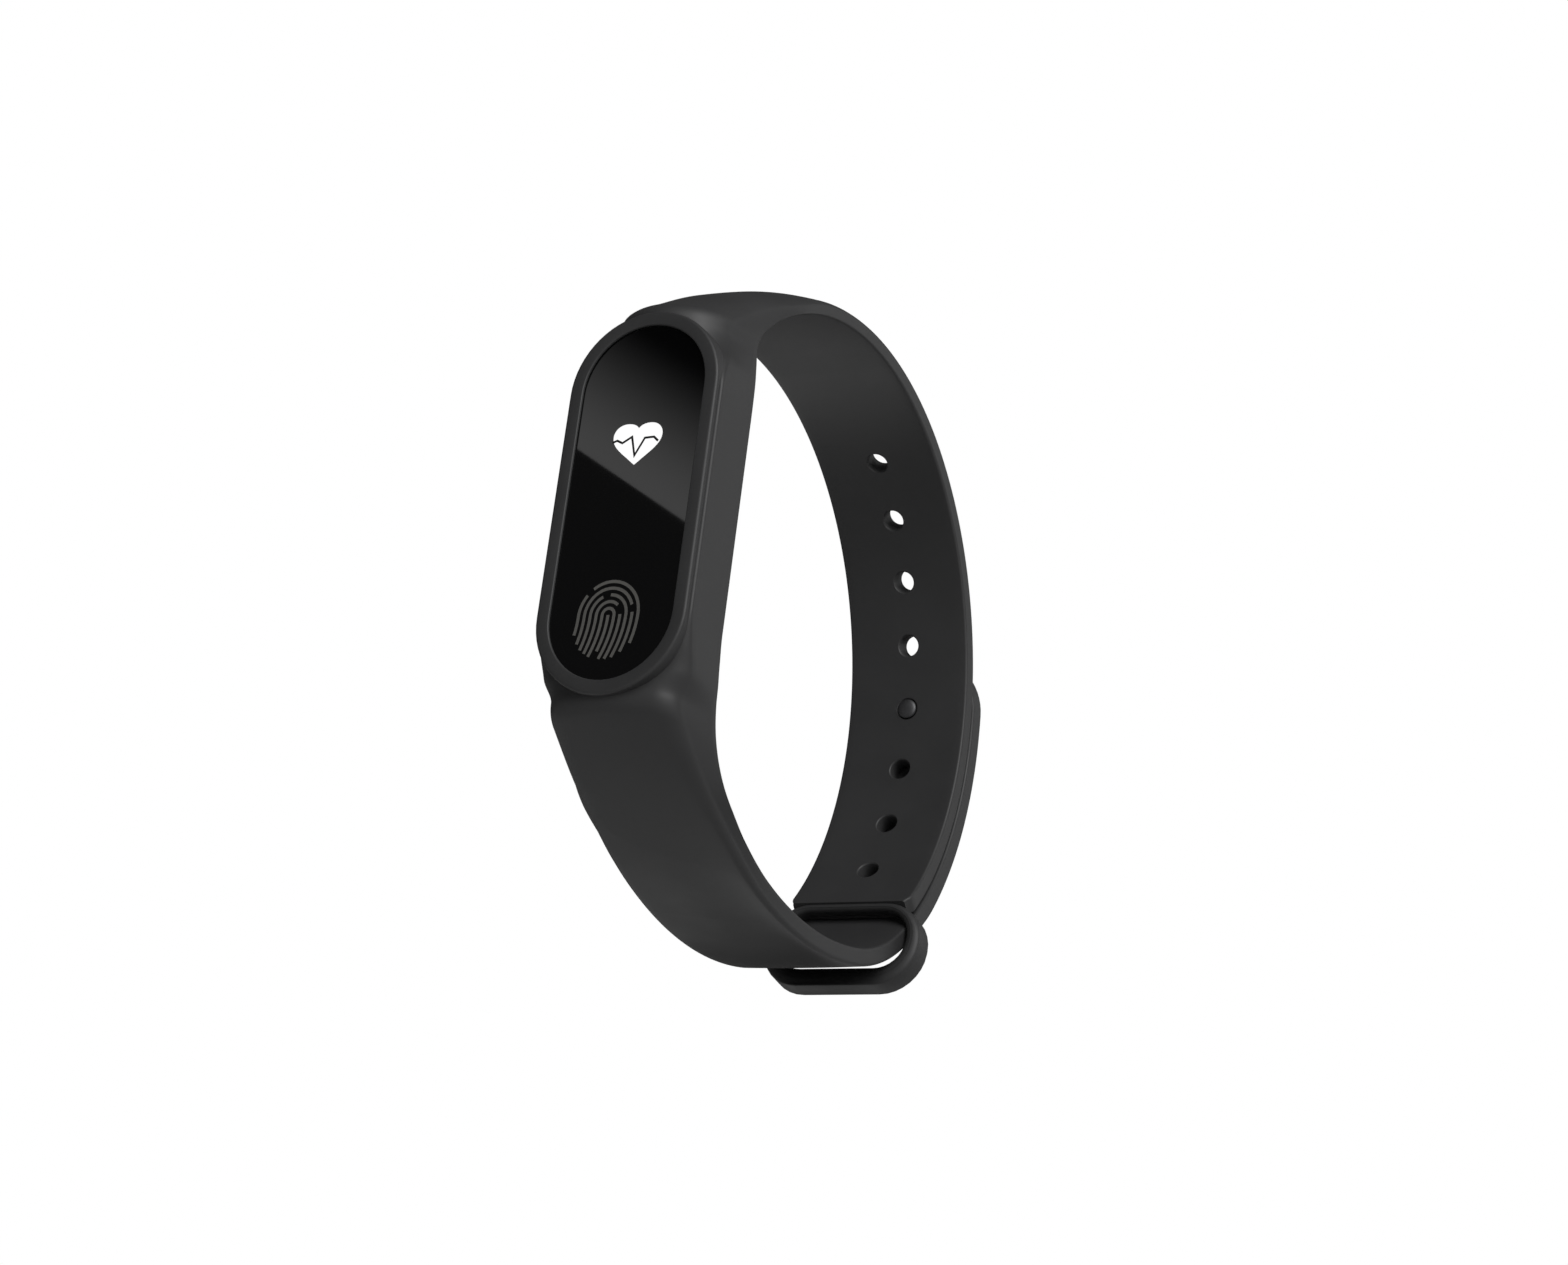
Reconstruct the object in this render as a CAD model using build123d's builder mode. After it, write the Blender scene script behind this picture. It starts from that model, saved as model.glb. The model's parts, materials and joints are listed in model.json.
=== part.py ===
from build123d import *

import os
from math import acos, atan2, cos, degrees, hypot, radians, sin, sqrt

# Fitness tracker band: a moulded silicone wristband with a lift-out tracker capsule.
# Row frame, millimetres: +X across the strap, -Y out of the screen, +Z up.
# The band is closed, with its stud in the fifth hole. The origin is the bottom
# centre of its bounding box.

os.makedirs("parts", exist_ok=True)

# ---------------------------------------------------------------- driving dimensions
# closed loop
LOOP_R = 34.05  # inner radius of the perforated arm
STRAP_W = 15.0
STRAP_T = 2.1
TAIL_GAP = 0.2  # between the perforated arm and the tail lying on it
PLAIN_ARM_SPREAD = 14.05  # inner radius of the flatter plain arm, beyond the loop's
PLAIN_ARM_SHIFT = (3.4, 14.8)  # its centre, behind and above the loop's centre
ARM_BLEND_R = 24.0  # where the plain arm turns into the tail
TAIL_JOIN_GAP = 0.15  # the tail's own piece starts this far past the bend

# housing moulded into the strap
HOUSING_W = 18.6
HOUSING_BACK_W = 16.6
HOUSING_T = 9.0  # lens surface to the skin side
HOUSING_RISE = 1.1  # housing centre above the loop's centre
SKIN_TOP_R = 5.0  # skin side into the perforated arm
SKIN_BOTTOM_R = 11.0  # skin side into the plain arm
SHOULDER_LAP = 2.0  # how far the housing block runs past the plain arm's start
SHOULDER_END = 0.95  # strap left beyond the lip at each end
SHOULDER_RUN = 20.0  # depth at which a shoulder has become strap
SHOULDER_TAPER = 7.0  # beyond the housing front, where a shoulder is down to strap width
FRONT_STEP = 0.6  # housing front below the lens surface
LEDGE_T = 0.8
LOOP_SETBACK = 0.25  # loop's inner circle behind the lens surface

# lip round the lens
LIP_LAP = 0.6
LIP_W = 1.4
LIP_RISE = 0.35
LIP_CLEAR = 0.05

# capsule
CAPSULE_L = 40.9
CAPSULE_W = 15.7
CAPSULE_CLEAR = 0.1
CASE_WALL = 0.9
LENS_T = 1.2
LENS_INSET = 0.4
CASE_FLOOR = 0.8
CASE_FRONT_DROP = 0.15  # case rim below the lens surface, under the lip
BUMP_MARGIN = 5.45  # from the capsule's end to the bump's
SENSOR_BUMP_W = 10.6
SENSOR_BUMP_RISE = 1.4  # beyond the housing's skin side
BUMP_WALL = 1.1
FIT = 0.03  # assembly clearance between glued, pressed or seated pieces
CONTACT_RUN = 1.5  # contact pin's length as a share of the case's floor

# inside the capsule
ADHESIVE_T = 0.15
MASK_T = 0.1
DISPLAY_T = 1.3
DISPLAY_TOP_GAP = 0.03  # between the holder's corners and the cavity's round end
WINDOW_INSET = 1.2  # black print over the display's edges
FLEX_T = 0.1
HOLDER_WALL = 0.8
TOUCH_PAD_R = 4.0
TOUCH_PAD_T = 0.3
TOUCH_POST_R = 1.5
TOUCH_DROP = 0.4  # touch pad's centre below the round end's centre
BOARD_DEPTH = 3.15  # front face of the main board behind the lens surface
BOARD_T = 0.6
BOARD_EDGE_GAP = 0.5
CHIP_ROW_H = 5.6
CHIP_GAP = 0.5
BATTERY_T = 3.1
TAPE_T = 0.2
GUARD_BOARD_H, GUARD_BOARD_T = 1.6, 1.2
ANTENNA_W, ANTENNA_H, ANTENNA_T = 6.0, 1.8, 0.9
ANTENNA_END_GAP = 2.6
BOARD_GAP = 0.15  # below the boards and the motor
PROCESSOR = (5.0, 5.0, 0.9)  # width, height, thickness of each chip
POWER_CHIP = (3.0, 2.4, 0.8)
MOTION_CHIP = (1.7, 2.0, 0.8)
CRYSTAL = (1.1, 2.0, 0.5)
PHOTODIODE = (2.4, 2.4, 0.5)
LED = (1.6, 1.6, 0.5)
LED_SPACING = 7.2
BARRIER_GROWTH = 1.0  # light barrier's outside beyond the photodiode, on each side
BARRIER_GAP = 0.6
BARRIER_CORNER = 0.5
SENSOR_FLEX_W = 1.2
MOTOR_R = 1.6
MOTOR_L = 5.6
MOTOR_WALL = 0.2
MOTOR_SHAFT_R = 0.35
MOTOR_WEIGHT_R = 1.5
MOTOR_WEIGHT_L = 2.6
MOTOR_WEIGHT_GAP = 0.4
MOTOR_BUSH_T = 0.6
MOTOR_MAGNET_R = 0.8
MOTOR_COIL_GAP = 0.1
MOTOR_COIL_END_T = 0.5
MOTOR_END_ROOM = 1.2  # for the coil's end, inside the can
SENSOR_BOARD_L = 14.0
WINDOW_L, WINDOW_W = 12.0, 6.0
CONTACT_R = 1.0
CONTACT_SPACING = 5.2
CONTACT_END_GAP = 3.1

# strap holes and clasp
HOLE_COUNT = 8
HOLE_R = 1.3
HOLE_PITCH = 7.5
FIRST_HOLE_ANGLE = 55.7
CLASPED_HOLE = 5
STUD_NECK_R = 0.75
STUD_HEAD_R = 1.03
STUD_HEAD_T = 0.7
STUD_PROUD = 0.4  # head beyond the strap's skin side
STUD_SLEEVE_R = 1.6
STUD_CAP_R = 3.2
STUD_CAP_T = 0.7
STUD_FLANGE_R = 2.1
STUD_FLANGE_T = 0.35
STUD_HEAD_EDGE = 0.25

# ring at the end of the perforated arm
RING_ANGLE = -43.5  # where the ring's face starts on the loop
RING_LEAN = 9.8  # tilt of the ring's face from upright
RING_WALL = 1.7
RING_BAR = 2.1
RING_DEPTH = 3.2
RING_HOLE_H = 7.05
RING_SIDE_CLEAR = 0.4
RING_LIP = 1.0
RING_CORNER = 4.8
RING_HOLE_CORNER = 0.42  # corner radius as a share of the hole's height

# ---------------------------------------------------------------- derived places
arm_out_r = LOOP_R + STRAP_T
tail_in_r = arm_out_r + TAIL_GAP
tail_out_r = tail_in_r + STRAP_T
plain_in_r = LOOP_R + PLAIN_ARM_SPREAD
plain_out_r = plain_in_r + STRAP_T

depth_total = LIP_RISE + LOOP_SETBACK + LOOP_R + tail_out_r
LENS_Y = LIP_RISE - depth_total / 2
loop_y = LENS_Y + LOOP_SETBACK + LOOP_R
loop_z = plain_out_r - PLAIN_ARM_SHIFT[1]
housing_z = loop_z + HOUSING_RISE
plain_y = loop_y + PLAIN_ARM_SHIFT[0]
plain_z = loop_z + PLAIN_ARM_SHIFT[1]

capsule_r = CAPSULE_W / 2
case_straight = CAPSULE_L - CAPSULE_W
lip_in_w = CAPSULE_W - 2 * LIP_LAP
lip_out_w = lip_in_w + 2 * LIP_W
pocket_w = CAPSULE_W + 2 * CAPSULE_CLEAR
case_back = HOUSING_T - LEDGE_T - LIP_CLEAR
bump_l = CAPSULE_L - 2 * BUMP_MARGIN
bump_back = HOUSING_T + SENSOR_BUMP_RISE
lip_end = (case_straight + lip_out_w) / 2

hole_step = degrees(HOLE_PITCH / LOOP_R)
stud_angle = FIRST_HOLE_ANGLE - (CLASPED_HOLE - 1) * hole_step
# the tail bends where the stud leaves its hole straight along the hole's axis
peel_angle = stud_angle - degrees(acos((LOOP_R + STRAP_T / 2) / tail_out_r))


def on_loop(radius, angle):
    """Point (y, z) at a radius and angle about the loop's centre."""
    return (loop_y + radius * cos(radians(angle)), loop_z + radius * sin(radians(angle)))


def on_plain(radius, y):
    """Point (y, z) on the underside of a circle about the plain arm's centre."""
    return (y, plain_z - sqrt(radius**2 - (y - plain_y) ** 2))


def arm_turn(loop_radius, plain_radius):
    """Point (y, z) where a circle of the plain arm meets one of the loop, at the back."""
    gap = hypot(*PLAIN_ARM_SHIFT)
    along = (gap**2 + loop_radius**2 - plain_radius**2) / (2 * gap)
    across = sqrt(loop_radius**2 - along**2)
    uy, uz = PLAIN_ARM_SHIFT[0] / gap, PLAIN_ARM_SHIFT[1] / gap
    return (loop_y + along * uy + across * uz, loop_z + along * uz - across * uy)


def loop_point_at(radius, y):
    """Point (y, z) on the upper side of a circle about the loop's centre."""
    return (y, loop_z + sqrt(radius**2 - (y - loop_y) ** 2))


def radial_plane(radius, angle):
    """Plane square to the loop's radius, normal pointing away from the wrist."""
    y, z = on_loop(radius, angle)
    return Plane(origin=(0, y, z), x_dir=(1, 0, 0), z_dir=(0, cos(radians(angle)), sin(radians(angle))))


def front_plane(depth, z=0.0):
    """Plane facing the wearer, at a depth behind the lens and a height on the capsule."""
    return Plane(origin=(0, LENS_Y + depth, housing_z + z), x_dir=(1, 0, 0), z_dir=(0, -1, 0))


def stadium(width):
    """Overall length of a stadium of this width about the capsule's straight."""
    return case_straight + width


# ---------------------------------------------------------------- perforated arm and ring
ring_y, ring_z = on_loop(LOOP_R, RING_ANGLE)
ring_plane = Plane(
    origin=(0, ring_y, ring_z),
    x_dir=(1, 0, 0),
    z_dir=(0, cos(radians(RING_LEAN)), -sin(radians(RING_LEAN))),
)
ring_hole_w = STRAP_W + 2 * RING_SIDE_CLEAR
ring_w = ring_hole_w + 2 * RING_WALL
ring_h = RING_LIP + RING_HOLE_H + RING_BAR
shoulder_top = loop_point_at(arm_out_r, LENS_Y + SHOULDER_RUN)
shoulder_angle = degrees(atan2(shoulder_top[1] - loop_z, shoulder_top[0] - loop_y))

with BuildPart() as perforated_arm:
    with BuildSketch(Plane.YZ):
        with BuildLine():
            arm_outer = CenterArc((loop_y, loop_z), arm_out_r, RING_ANGLE, shoulder_angle - RING_ANGLE)
            arm_inner = CenterArc((loop_y, loop_z), LOOP_R, RING_ANGLE, shoulder_angle - RING_ANGLE)
            Line(arm_outer @ 0, arm_inner @ 0)
            Line(arm_outer @ 1, arm_inner @ 1)
        make_face()
    extrude(amount=STRAP_W / 2, both=True)
    with BuildSketch(ring_plane):
        with Locations((0, ring_h / 2)):
            RectangleRounded(ring_w, ring_h, min(RING_CORNER, 0.49 * ring_h))
    extrude(amount=RING_DEPTH)
    with BuildSketch(ring_plane):
        with Locations((0, RING_LIP + RING_HOLE_H / 2)):
            RectangleRounded(ring_hole_w, RING_HOLE_H, RING_HOLE_H * RING_HOLE_CORNER)
    extrude(amount=3 * RING_DEPTH, both=True, mode=Mode.SUBTRACT)
    with BuildSketch(Plane.YZ):
        with Locations((loop_y, loop_z)):
            Circle(tail_out_r + TAIL_GAP)
            Circle(arm_out_r, mode=Mode.SUBTRACT)
    extrude(amount=ring_hole_w / 2, both=True, mode=Mode.SUBTRACT)
    for i in range(HOLE_COUNT):
        with BuildSketch(radial_plane(LOOP_R - STRAP_T, FIRST_HOLE_ANGLE - i * hole_step)):
            Circle(HOLE_R)
        extrude(amount=2 * STRAP_T + TAIL_GAP / 2, mode=Mode.SUBTRACT)

# ---------------------------------------------------------------- plain arm, up to the bend
blend_y = LENS_Y + SHOULDER_RUN - SHOULDER_LAP
turn_in = arm_turn(tail_in_r, plain_in_r)
turn_out = arm_turn(tail_out_r, plain_out_r)
low_in = (plain_y, plain_z - plain_in_r)
low_out = (plain_y, plain_z - plain_out_r)


def loop_middle(point, radius):
    """Point (y, z) halfway along the loop from a point to the bend."""
    start = degrees(atan2(point[1] - loop_z, point[0] - loop_y))
    return on_loop(radius, (start + peel_angle) / 2)


with BuildPart() as plain_arm:
    with BuildSketch(Plane.YZ) as plain_profile:
        with BuildLine():
            ThreePointArc(on_plain(plain_out_r, blend_y), low_out, turn_out)
            ThreePointArc(turn_out, loop_middle(turn_out, tail_out_r), on_loop(tail_out_r, peel_angle))
            Line(on_loop(tail_out_r, peel_angle), on_loop(tail_in_r, peel_angle))
            ThreePointArc(on_loop(tail_in_r, peel_angle), loop_middle(turn_in, tail_in_r), turn_in)
            ThreePointArc(turn_in, low_in, on_plain(plain_in_r, blend_y))
            Line(on_plain(plain_in_r, blend_y), on_plain(plain_out_r, blend_y))
        make_face()
        fillet(plain_profile.vertices().sort_by_distance((*turn_out, 0))[0], radius=ARM_BLEND_R + STRAP_T)
        fillet(plain_profile.vertices().sort_by_distance((*turn_in, 0))[0], radius=ARM_BLEND_R)
    extrude(amount=STRAP_W / 2, both=True)

# ---------------------------------------------------------------- housing with its shoulders
front_y = LENS_Y + FRONT_STEP
back_y = LENS_Y + HOUSING_T
front_top = (front_y, housing_z + lip_end + SHOULDER_END)
front_bottom = (front_y, housing_z - lip_end - SHOULDER_END)
back_top = loop_point_at(LOOP_R, back_y)
back_bottom = on_plain(plain_in_r, back_y)
half_w, half_strap = HOUSING_W / 2, STRAP_W / 2
taper_start = case_straight / 2
taper_end = front_top[1] - housing_z + SHOULDER_TAPER
taper_middle = (taper_start + taper_end) / 2
reach = taper_end + SHOULDER_RUN

with BuildPart() as housing_block:
    with BuildSketch(Plane.YZ) as housing_profile:
        with BuildLine():
            TangentArc(
                shoulder_top,
                front_top,
                tangent=(-sin(radians(shoulder_angle)), cos(radians(shoulder_angle))),
            )
            Line(front_top, front_bottom)
            low = on_plain(plain_out_r, blend_y)
            TangentArc(low, front_bottom, tangent=(low[1] - plain_z, plain_y - low[0]))
            Line(low, on_plain(plain_in_r, blend_y))
            inner_low = (back_y + blend_y) / 2
            ThreePointArc(on_plain(plain_in_r, blend_y), on_plain(plain_in_r, inner_low), back_bottom)
            Line(back_bottom, back_top)
            inner_top = on_loop(LOOP_R, shoulder_angle)
            ThreePointArc(back_top, loop_point_at(LOOP_R, (back_y + inner_top[0]) / 2), inner_top)
            Line(inner_top, shoulder_top)
        make_face()
        fillet(housing_profile.vertices().sort_by_distance((*back_bottom, 0))[0], radius=SKIN_BOTTOM_R)
        fillet(housing_profile.vertices().sort_by_distance((*back_top, 0))[0], radius=SKIN_TOP_R)
    extrude(amount=half_w, both=True)
    with BuildSketch(front_plane(-LIP_RISE)):
        with BuildLine() as outline:
            Line((0, -reach), (half_strap, -reach))
            Line((half_strap, -reach), (half_strap, -taper_end))
            low_flare = TangentArc(
                (half_strap, -taper_end), ((half_w + half_strap) / 2, -taper_middle), tangent=(0, 1)
            )
            TangentArc(low_flare @ 1, (half_w, -taper_start), tangent=low_flare % 1)
            Line((half_w, -taper_start), (half_w, taper_start))
            flare = TangentArc(
                (half_w, taper_start), ((half_w + half_strap) / 2, taper_middle), tangent=(0, 1)
            )
            TangentArc(flare @ 1, (half_strap, taper_end), tangent=flare % 1)
            Line((half_strap, taper_end), (half_strap, reach))
            Line((half_strap, reach), (0, reach))
            mirror(outline.line, about=Plane.YZ)
        make_face()
    extrude(amount=-2 * SHOULDER_RUN, mode=Mode.INTERSECT)
    with BuildSketch(Plane.XY):
        with BuildLine() as plan:
            Line((0, LENS_Y - LIP_RISE), (half_w, LENS_Y - LIP_RISE))
            Line((half_w, LENS_Y - LIP_RISE), (half_w, LENS_Y + HOUSING_T / 4))
            Line((half_w, LENS_Y + HOUSING_T / 4), (HOUSING_BACK_W / 2, back_y))
            Line((HOUSING_BACK_W / 2, back_y), (HOUSING_BACK_W / 2, LENS_Y + 2 * SHOULDER_RUN))
            Line((HOUSING_BACK_W / 2, LENS_Y + 2 * SHOULDER_RUN), (0, LENS_Y + 2 * SHOULDER_RUN))
            mirror(plan.line, about=Plane.YZ)
        make_face()
    extrude(amount=4 * LOOP_R, both=True, mode=Mode.INTERSECT)

with BuildPart() as wristband:
    add(housing_block.part)
    add(perforated_arm.part)
    add(plain_arm.part)
    with BuildSketch(front_plane(HOUSING_T - LEDGE_T)):
        SlotOverall(stadium(pocket_w), pocket_w, rotation=90)
    extrude(amount=2 * HOUSING_T, mode=Mode.SUBTRACT)
    with BuildSketch(front_plane(HOUSING_T + LEDGE_T)):
        SlotOverall(bump_l + 2 * CAPSULE_CLEAR, SENSOR_BUMP_W + 2 * CAPSULE_CLEAR, rotation=90)
    extrude(amount=HOUSING_T, mode=Mode.SUBTRACT)
wristband.part.label = "wristband"
export_step(wristband.part, "parts/wristband.step")

# the lip is moulded on the wristband; it stretches when the capsule is pressed out
with BuildPart() as housing_lip:
    with BuildSketch(front_plane(-LIP_CLEAR)):
        SlotOverall(stadium(lip_out_w), lip_out_w, rotation=90)
        SlotOverall(stadium(lip_in_w), lip_in_w, rotation=90, mode=Mode.SUBTRACT)
    extrude(amount=LIP_RISE - LIP_CLEAR)
    with BuildSketch(front_plane(FRONT_STEP)):
        SlotOverall(stadium(lip_out_w), lip_out_w, rotation=90)
        SlotOverall(stadium(pocket_w), pocket_w, rotation=90, mode=Mode.SUBTRACT)
    extrude(amount=FRONT_STEP + LIP_CLEAR)
housing_lip.part.label = "housing_lip"
export_step(housing_lip.part, "parts/housing_lip.step")

# ---------------------------------------------------------------- tail and clasp
tail_start = peel_angle + degrees(TAIL_JOIN_GAP / tail_out_r)
tail_stop = stud_angle + degrees(STRAP_W / tail_in_r)
with BuildPart() as strap_tail:
    with BuildSketch(Plane.YZ):
        with BuildLine():
            tail_outer = CenterArc((loop_y, loop_z), tail_out_r, tail_start, tail_stop - tail_start)
            tail_inner = CenterArc((loop_y, loop_z), tail_in_r, tail_start, tail_stop - tail_start)
            Line(tail_outer @ 0, tail_inner @ 0)
            Line(tail_outer @ 1, tail_inner @ 1)
        make_face()
    extrude(amount=STRAP_W / 2, both=True)
    with BuildSketch(radial_plane(LOOP_R, stud_angle)):
        Circle(STRAP_W / 2)
        with Locations((0, STRAP_W)):
            Rectangle(STRAP_W, 2 * STRAP_W)
    extrude(amount=LOOP_R, both=True, mode=Mode.INTERSECT)
    with BuildSketch(radial_plane(LOOP_R, stud_angle)):
        Circle(STUD_SLEEVE_R + FIT)
    extrude(amount=3 * STRAP_T, mode=Mode.SUBTRACT)
    with BuildSketch(radial_plane(tail_out_r - STUD_CAP_T, stud_angle)):
        Circle(STUD_CAP_R + FIT)
    extrude(amount=STRAP_T, mode=Mode.SUBTRACT)
    with BuildSketch(radial_plane(LOOP_R, stud_angle)):
        Circle(STUD_FLANGE_R + FIT)
    extrude(amount=STRAP_T + TAIL_GAP + STUD_FLANGE_T + 2 * FIT, mode=Mode.SUBTRACT)
strap_tail.part.label = "strap_tail"
export_step(strap_tail.part, "parts/strap_tail.step")

with BuildPart() as stud_cap:
    with BuildSketch(radial_plane(tail_out_r - STUD_CAP_T + FIT, stud_angle)):
        Circle(STUD_CAP_R)
    extrude(amount=STUD_CAP_T - FIT)
    with BuildSketch(radial_plane(tail_in_r + STUD_FLANGE_T + 2 * FIT, stud_angle)):
        Circle(STUD_SLEEVE_R)
        Circle(STUD_NECK_R + FIT, mode=Mode.SUBTRACT)
    extrude(amount=STRAP_T - STUD_CAP_T - STUD_FLANGE_T)
stud_cap.part.label = "stud_cap"
export_step(stud_cap.part, "parts/stud_cap.step")

with BuildPart() as stud_pin:
    with BuildSketch(radial_plane(LOOP_R - STUD_PROUD, stud_angle)):
        Circle(STUD_NECK_R)
    extrude(amount=STUD_PROUD + STRAP_T + TAIL_GAP + STRAP_T - STUD_CAP_T - FIT)
    with BuildSketch(radial_plane(LOOP_R - STUD_PROUD, stud_angle)):
        Circle(STUD_HEAD_R)
    extrude(amount=STUD_HEAD_T)
    head_edges = stud_pin.edges().filter_by(GeomType.CIRCLE)
    inmost = head_edges.sort_by(lambda e: hypot(e.center().Y - loop_y, e.center().Z - loop_z))[0]
    fillet(inmost, STUD_HEAD_EDGE)
    with BuildSketch(radial_plane(tail_in_r + FIT, stud_angle)):
        Circle(STUD_FLANGE_R)
    extrude(amount=STUD_FLANGE_T)
stud_pin.part.label = "stud_pin"
export_step(stud_pin.part, "parts/stud_pin.step")

# ---------------------------------------------------------------- capsule shell
end_z = case_straight / 2
cavity_w = CAPSULE_W - 2 * CASE_WALL
cavity_end = end_z + cavity_w / 2
cavity_back = case_back - CASE_FLOOR
lens_w = CAPSULE_W - 2 * LENS_INSET
bump_cavity_w = SENSOR_BUMP_W - 2 * BUMP_WALL
bump_cavity_back = bump_back - BUMP_WALL
contact_z = -CAPSULE_L / 2 + CONTACT_END_GAP

with BuildPart() as capsule_case:
    with BuildSketch(front_plane(case_back)):
        SlotOverall(CAPSULE_L, CAPSULE_W, rotation=90)
    extrude(amount=case_back - CASE_FRONT_DROP)
    with BuildSketch(front_plane(bump_back)):
        SlotOverall(bump_l, SENSOR_BUMP_W, rotation=90)
    extrude(amount=bump_back - case_back)
    with BuildSketch(front_plane(cavity_back)):
        SlotOverall(stadium(cavity_w), cavity_w, rotation=90)
    extrude(amount=HOUSING_T, mode=Mode.SUBTRACT)
    with BuildSketch(front_plane(LENS_T + ADHESIVE_T)):
        SlotOverall(stadium(lens_w + 2 * FIT), lens_w + 2 * FIT, rotation=90)
    extrude(amount=LENS_T + ADHESIVE_T, mode=Mode.SUBTRACT)
    with BuildSketch(front_plane(bump_cavity_back)):
        SlotOverall(bump_l - 2 * BUMP_WALL, bump_cavity_w, rotation=90)
    extrude(amount=bump_cavity_back - cavity_back, mode=Mode.SUBTRACT)
    with BuildSketch(front_plane(bump_back)):
        SlotOverall(WINDOW_L + 2 * FIT, WINDOW_W + 2 * FIT, rotation=90)
    extrude(amount=bump_back - cavity_back, mode=Mode.SUBTRACT)
    with BuildSketch(front_plane(case_back, contact_z)):
        with GridLocations(CONTACT_SPACING, 0, 2, 1):
            Circle(CONTACT_R + FIT)
    extrude(amount=2 * CASE_FLOOR, mode=Mode.SUBTRACT)
capsule_case.part.label = "capsule_case"
export_step(capsule_case.part, "parts/capsule_case.step")

with BuildPart() as front_lens:
    with BuildSketch(front_plane(LENS_T)):
        SlotOverall(stadium(lens_w), lens_w, rotation=90)
    extrude(amount=LENS_T)
front_lens.part.label = "front_lens"
export_step(front_lens.part, "parts/front_lens.step")

with BuildPart() as lens_adhesive:
    with BuildSketch(front_plane(LENS_T + ADHESIVE_T)):
        SlotOverall(stadium(lens_w), lens_w, rotation=90)
        SlotOverall(stadium(cavity_w), cavity_w, rotation=90, mode=Mode.SUBTRACT)
    extrude(amount=ADHESIVE_T)
lens_adhesive.part.label = "lens_adhesive"
export_step(lens_adhesive.part, "parts/lens_adhesive.step")

with BuildPart() as sensor_window:
    with BuildSketch(front_plane(bump_back)):
        SlotOverall(WINDOW_L, WINDOW_W, rotation=90)
    extrude(amount=BUMP_WALL)
sensor_window.part.label = "sensor_window"
export_step(sensor_window.part, "parts/sensor_window.step")

with BuildPart() as charge_contacts:
    with BuildSketch(front_plane(case_back, contact_z)):
        with GridLocations(CONTACT_SPACING, 0, 2, 1):
            Circle(CONTACT_R)
    extrude(amount=CONTACT_RUN * CASE_FLOOR)
charge_contacts.part.label = "charge_contacts"
export_step(charge_contacts.part, "parts/charge_contacts.step")

# ---------------------------------------------------------------- display and touch key
touch_z = -end_z - TOUCH_DROP
layer_depth = LENS_T + MASK_T + 2 * FIT
display_w = cavity_w - 2 * HOLDER_WALL - 2 * BOARD_EDGE_GAP
display_low = touch_z + TOUCH_PAD_R + 2 * HOLDER_WALL
corner_run = cavity_w / 2 - HOLDER_WALL - DISPLAY_TOP_GAP
display_high = end_z + sqrt(corner_run**2 - (display_w / 2) ** 2)
display_l = display_high - display_low
display_z = (display_high + display_low) / 2
holder_w, holder_l = display_w + 2 * HOLDER_WALL, display_l + 2 * HOLDER_WALL

with BuildPart() as lens_mask:
    with BuildSketch(front_plane(LENS_T + FIT + MASK_T)):
        SlotOverall(stadium(cavity_w - 2 * FIT), cavity_w - 2 * FIT, rotation=90)
        with Locations((0, display_z)):
            Rectangle(display_w - 2 * WINDOW_INSET, display_l - 2 * WINDOW_INSET, mode=Mode.SUBTRACT)
    extrude(amount=MASK_T)
lens_mask.part.label = "lens_mask"
export_step(lens_mask.part, "parts/lens_mask.step")

with BuildPart() as display_panel:
    with BuildSketch(front_plane(layer_depth + DISPLAY_T, display_z)):
        Rectangle(display_w - 2 * FIT, display_l - 2 * FIT)
    extrude(amount=DISPLAY_T)
display_panel.part.label = "display_panel"
export_step(display_panel.part, "parts/display_panel.step")

with BuildPart() as display_holder:
    with BuildSketch(front_plane(BOARD_DEPTH - FIT, display_z)):
        RectangleRounded(holder_w, holder_l, HOLDER_WALL)
        Rectangle(display_w, display_l, mode=Mode.SUBTRACT)
    extrude(amount=BOARD_DEPTH - FIT - layer_depth)
    flex_slot_h = BOARD_DEPTH - layer_depth - DISPLAY_T
    with BuildSketch(front_plane(BOARD_DEPTH, display_z - display_l / 2)):
        Rectangle(display_w / 2 + 2 * FIT, 3 * HOLDER_WALL)
    extrude(amount=flex_slot_h, mode=Mode.SUBTRACT)
display_holder.part.label = "display_holder"
export_step(display_holder.part, "parts/display_holder.step")

with BuildPart() as display_flex:
    with BuildSketch(front_plane(layer_depth + DISPLAY_T + FIT + FLEX_T, display_low)):
        Rectangle(display_w / 2, 4 * HOLDER_WALL)
    extrude(amount=FLEX_T)
    with BuildSketch(front_plane(BOARD_DEPTH - FIT, display_low - 2 * HOLDER_WALL + FLEX_T / 2)):
        Rectangle(display_w / 2, FLEX_T)
    extrude(amount=BOARD_DEPTH - 2 * FIT - layer_depth - DISPLAY_T)
display_flex.part.label = "display_flex"
export_step(display_flex.part, "parts/display_flex.step")

with BuildPart() as touch_electrode:
    with BuildSketch(front_plane(layer_depth + TOUCH_PAD_T, touch_z - HOLDER_WALL)):
        Circle(TOUCH_PAD_R - HOLDER_WALL)
    extrude(amount=TOUCH_PAD_T)
touch_electrode.part.label = "touch_electrode"
export_step(touch_electrode.part, "parts/touch_electrode.step")

with BuildPart() as touch_contact:
    with BuildSketch(front_plane(BOARD_DEPTH - FIT, touch_z - HOLDER_WALL)):
        Circle(TOUCH_POST_R)
    extrude(amount=BOARD_DEPTH - 2 * FIT - layer_depth - TOUCH_PAD_T)
touch_contact.part.label = "touch_contact"
export_step(touch_contact.part, "parts/touch_contact.step")

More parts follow.
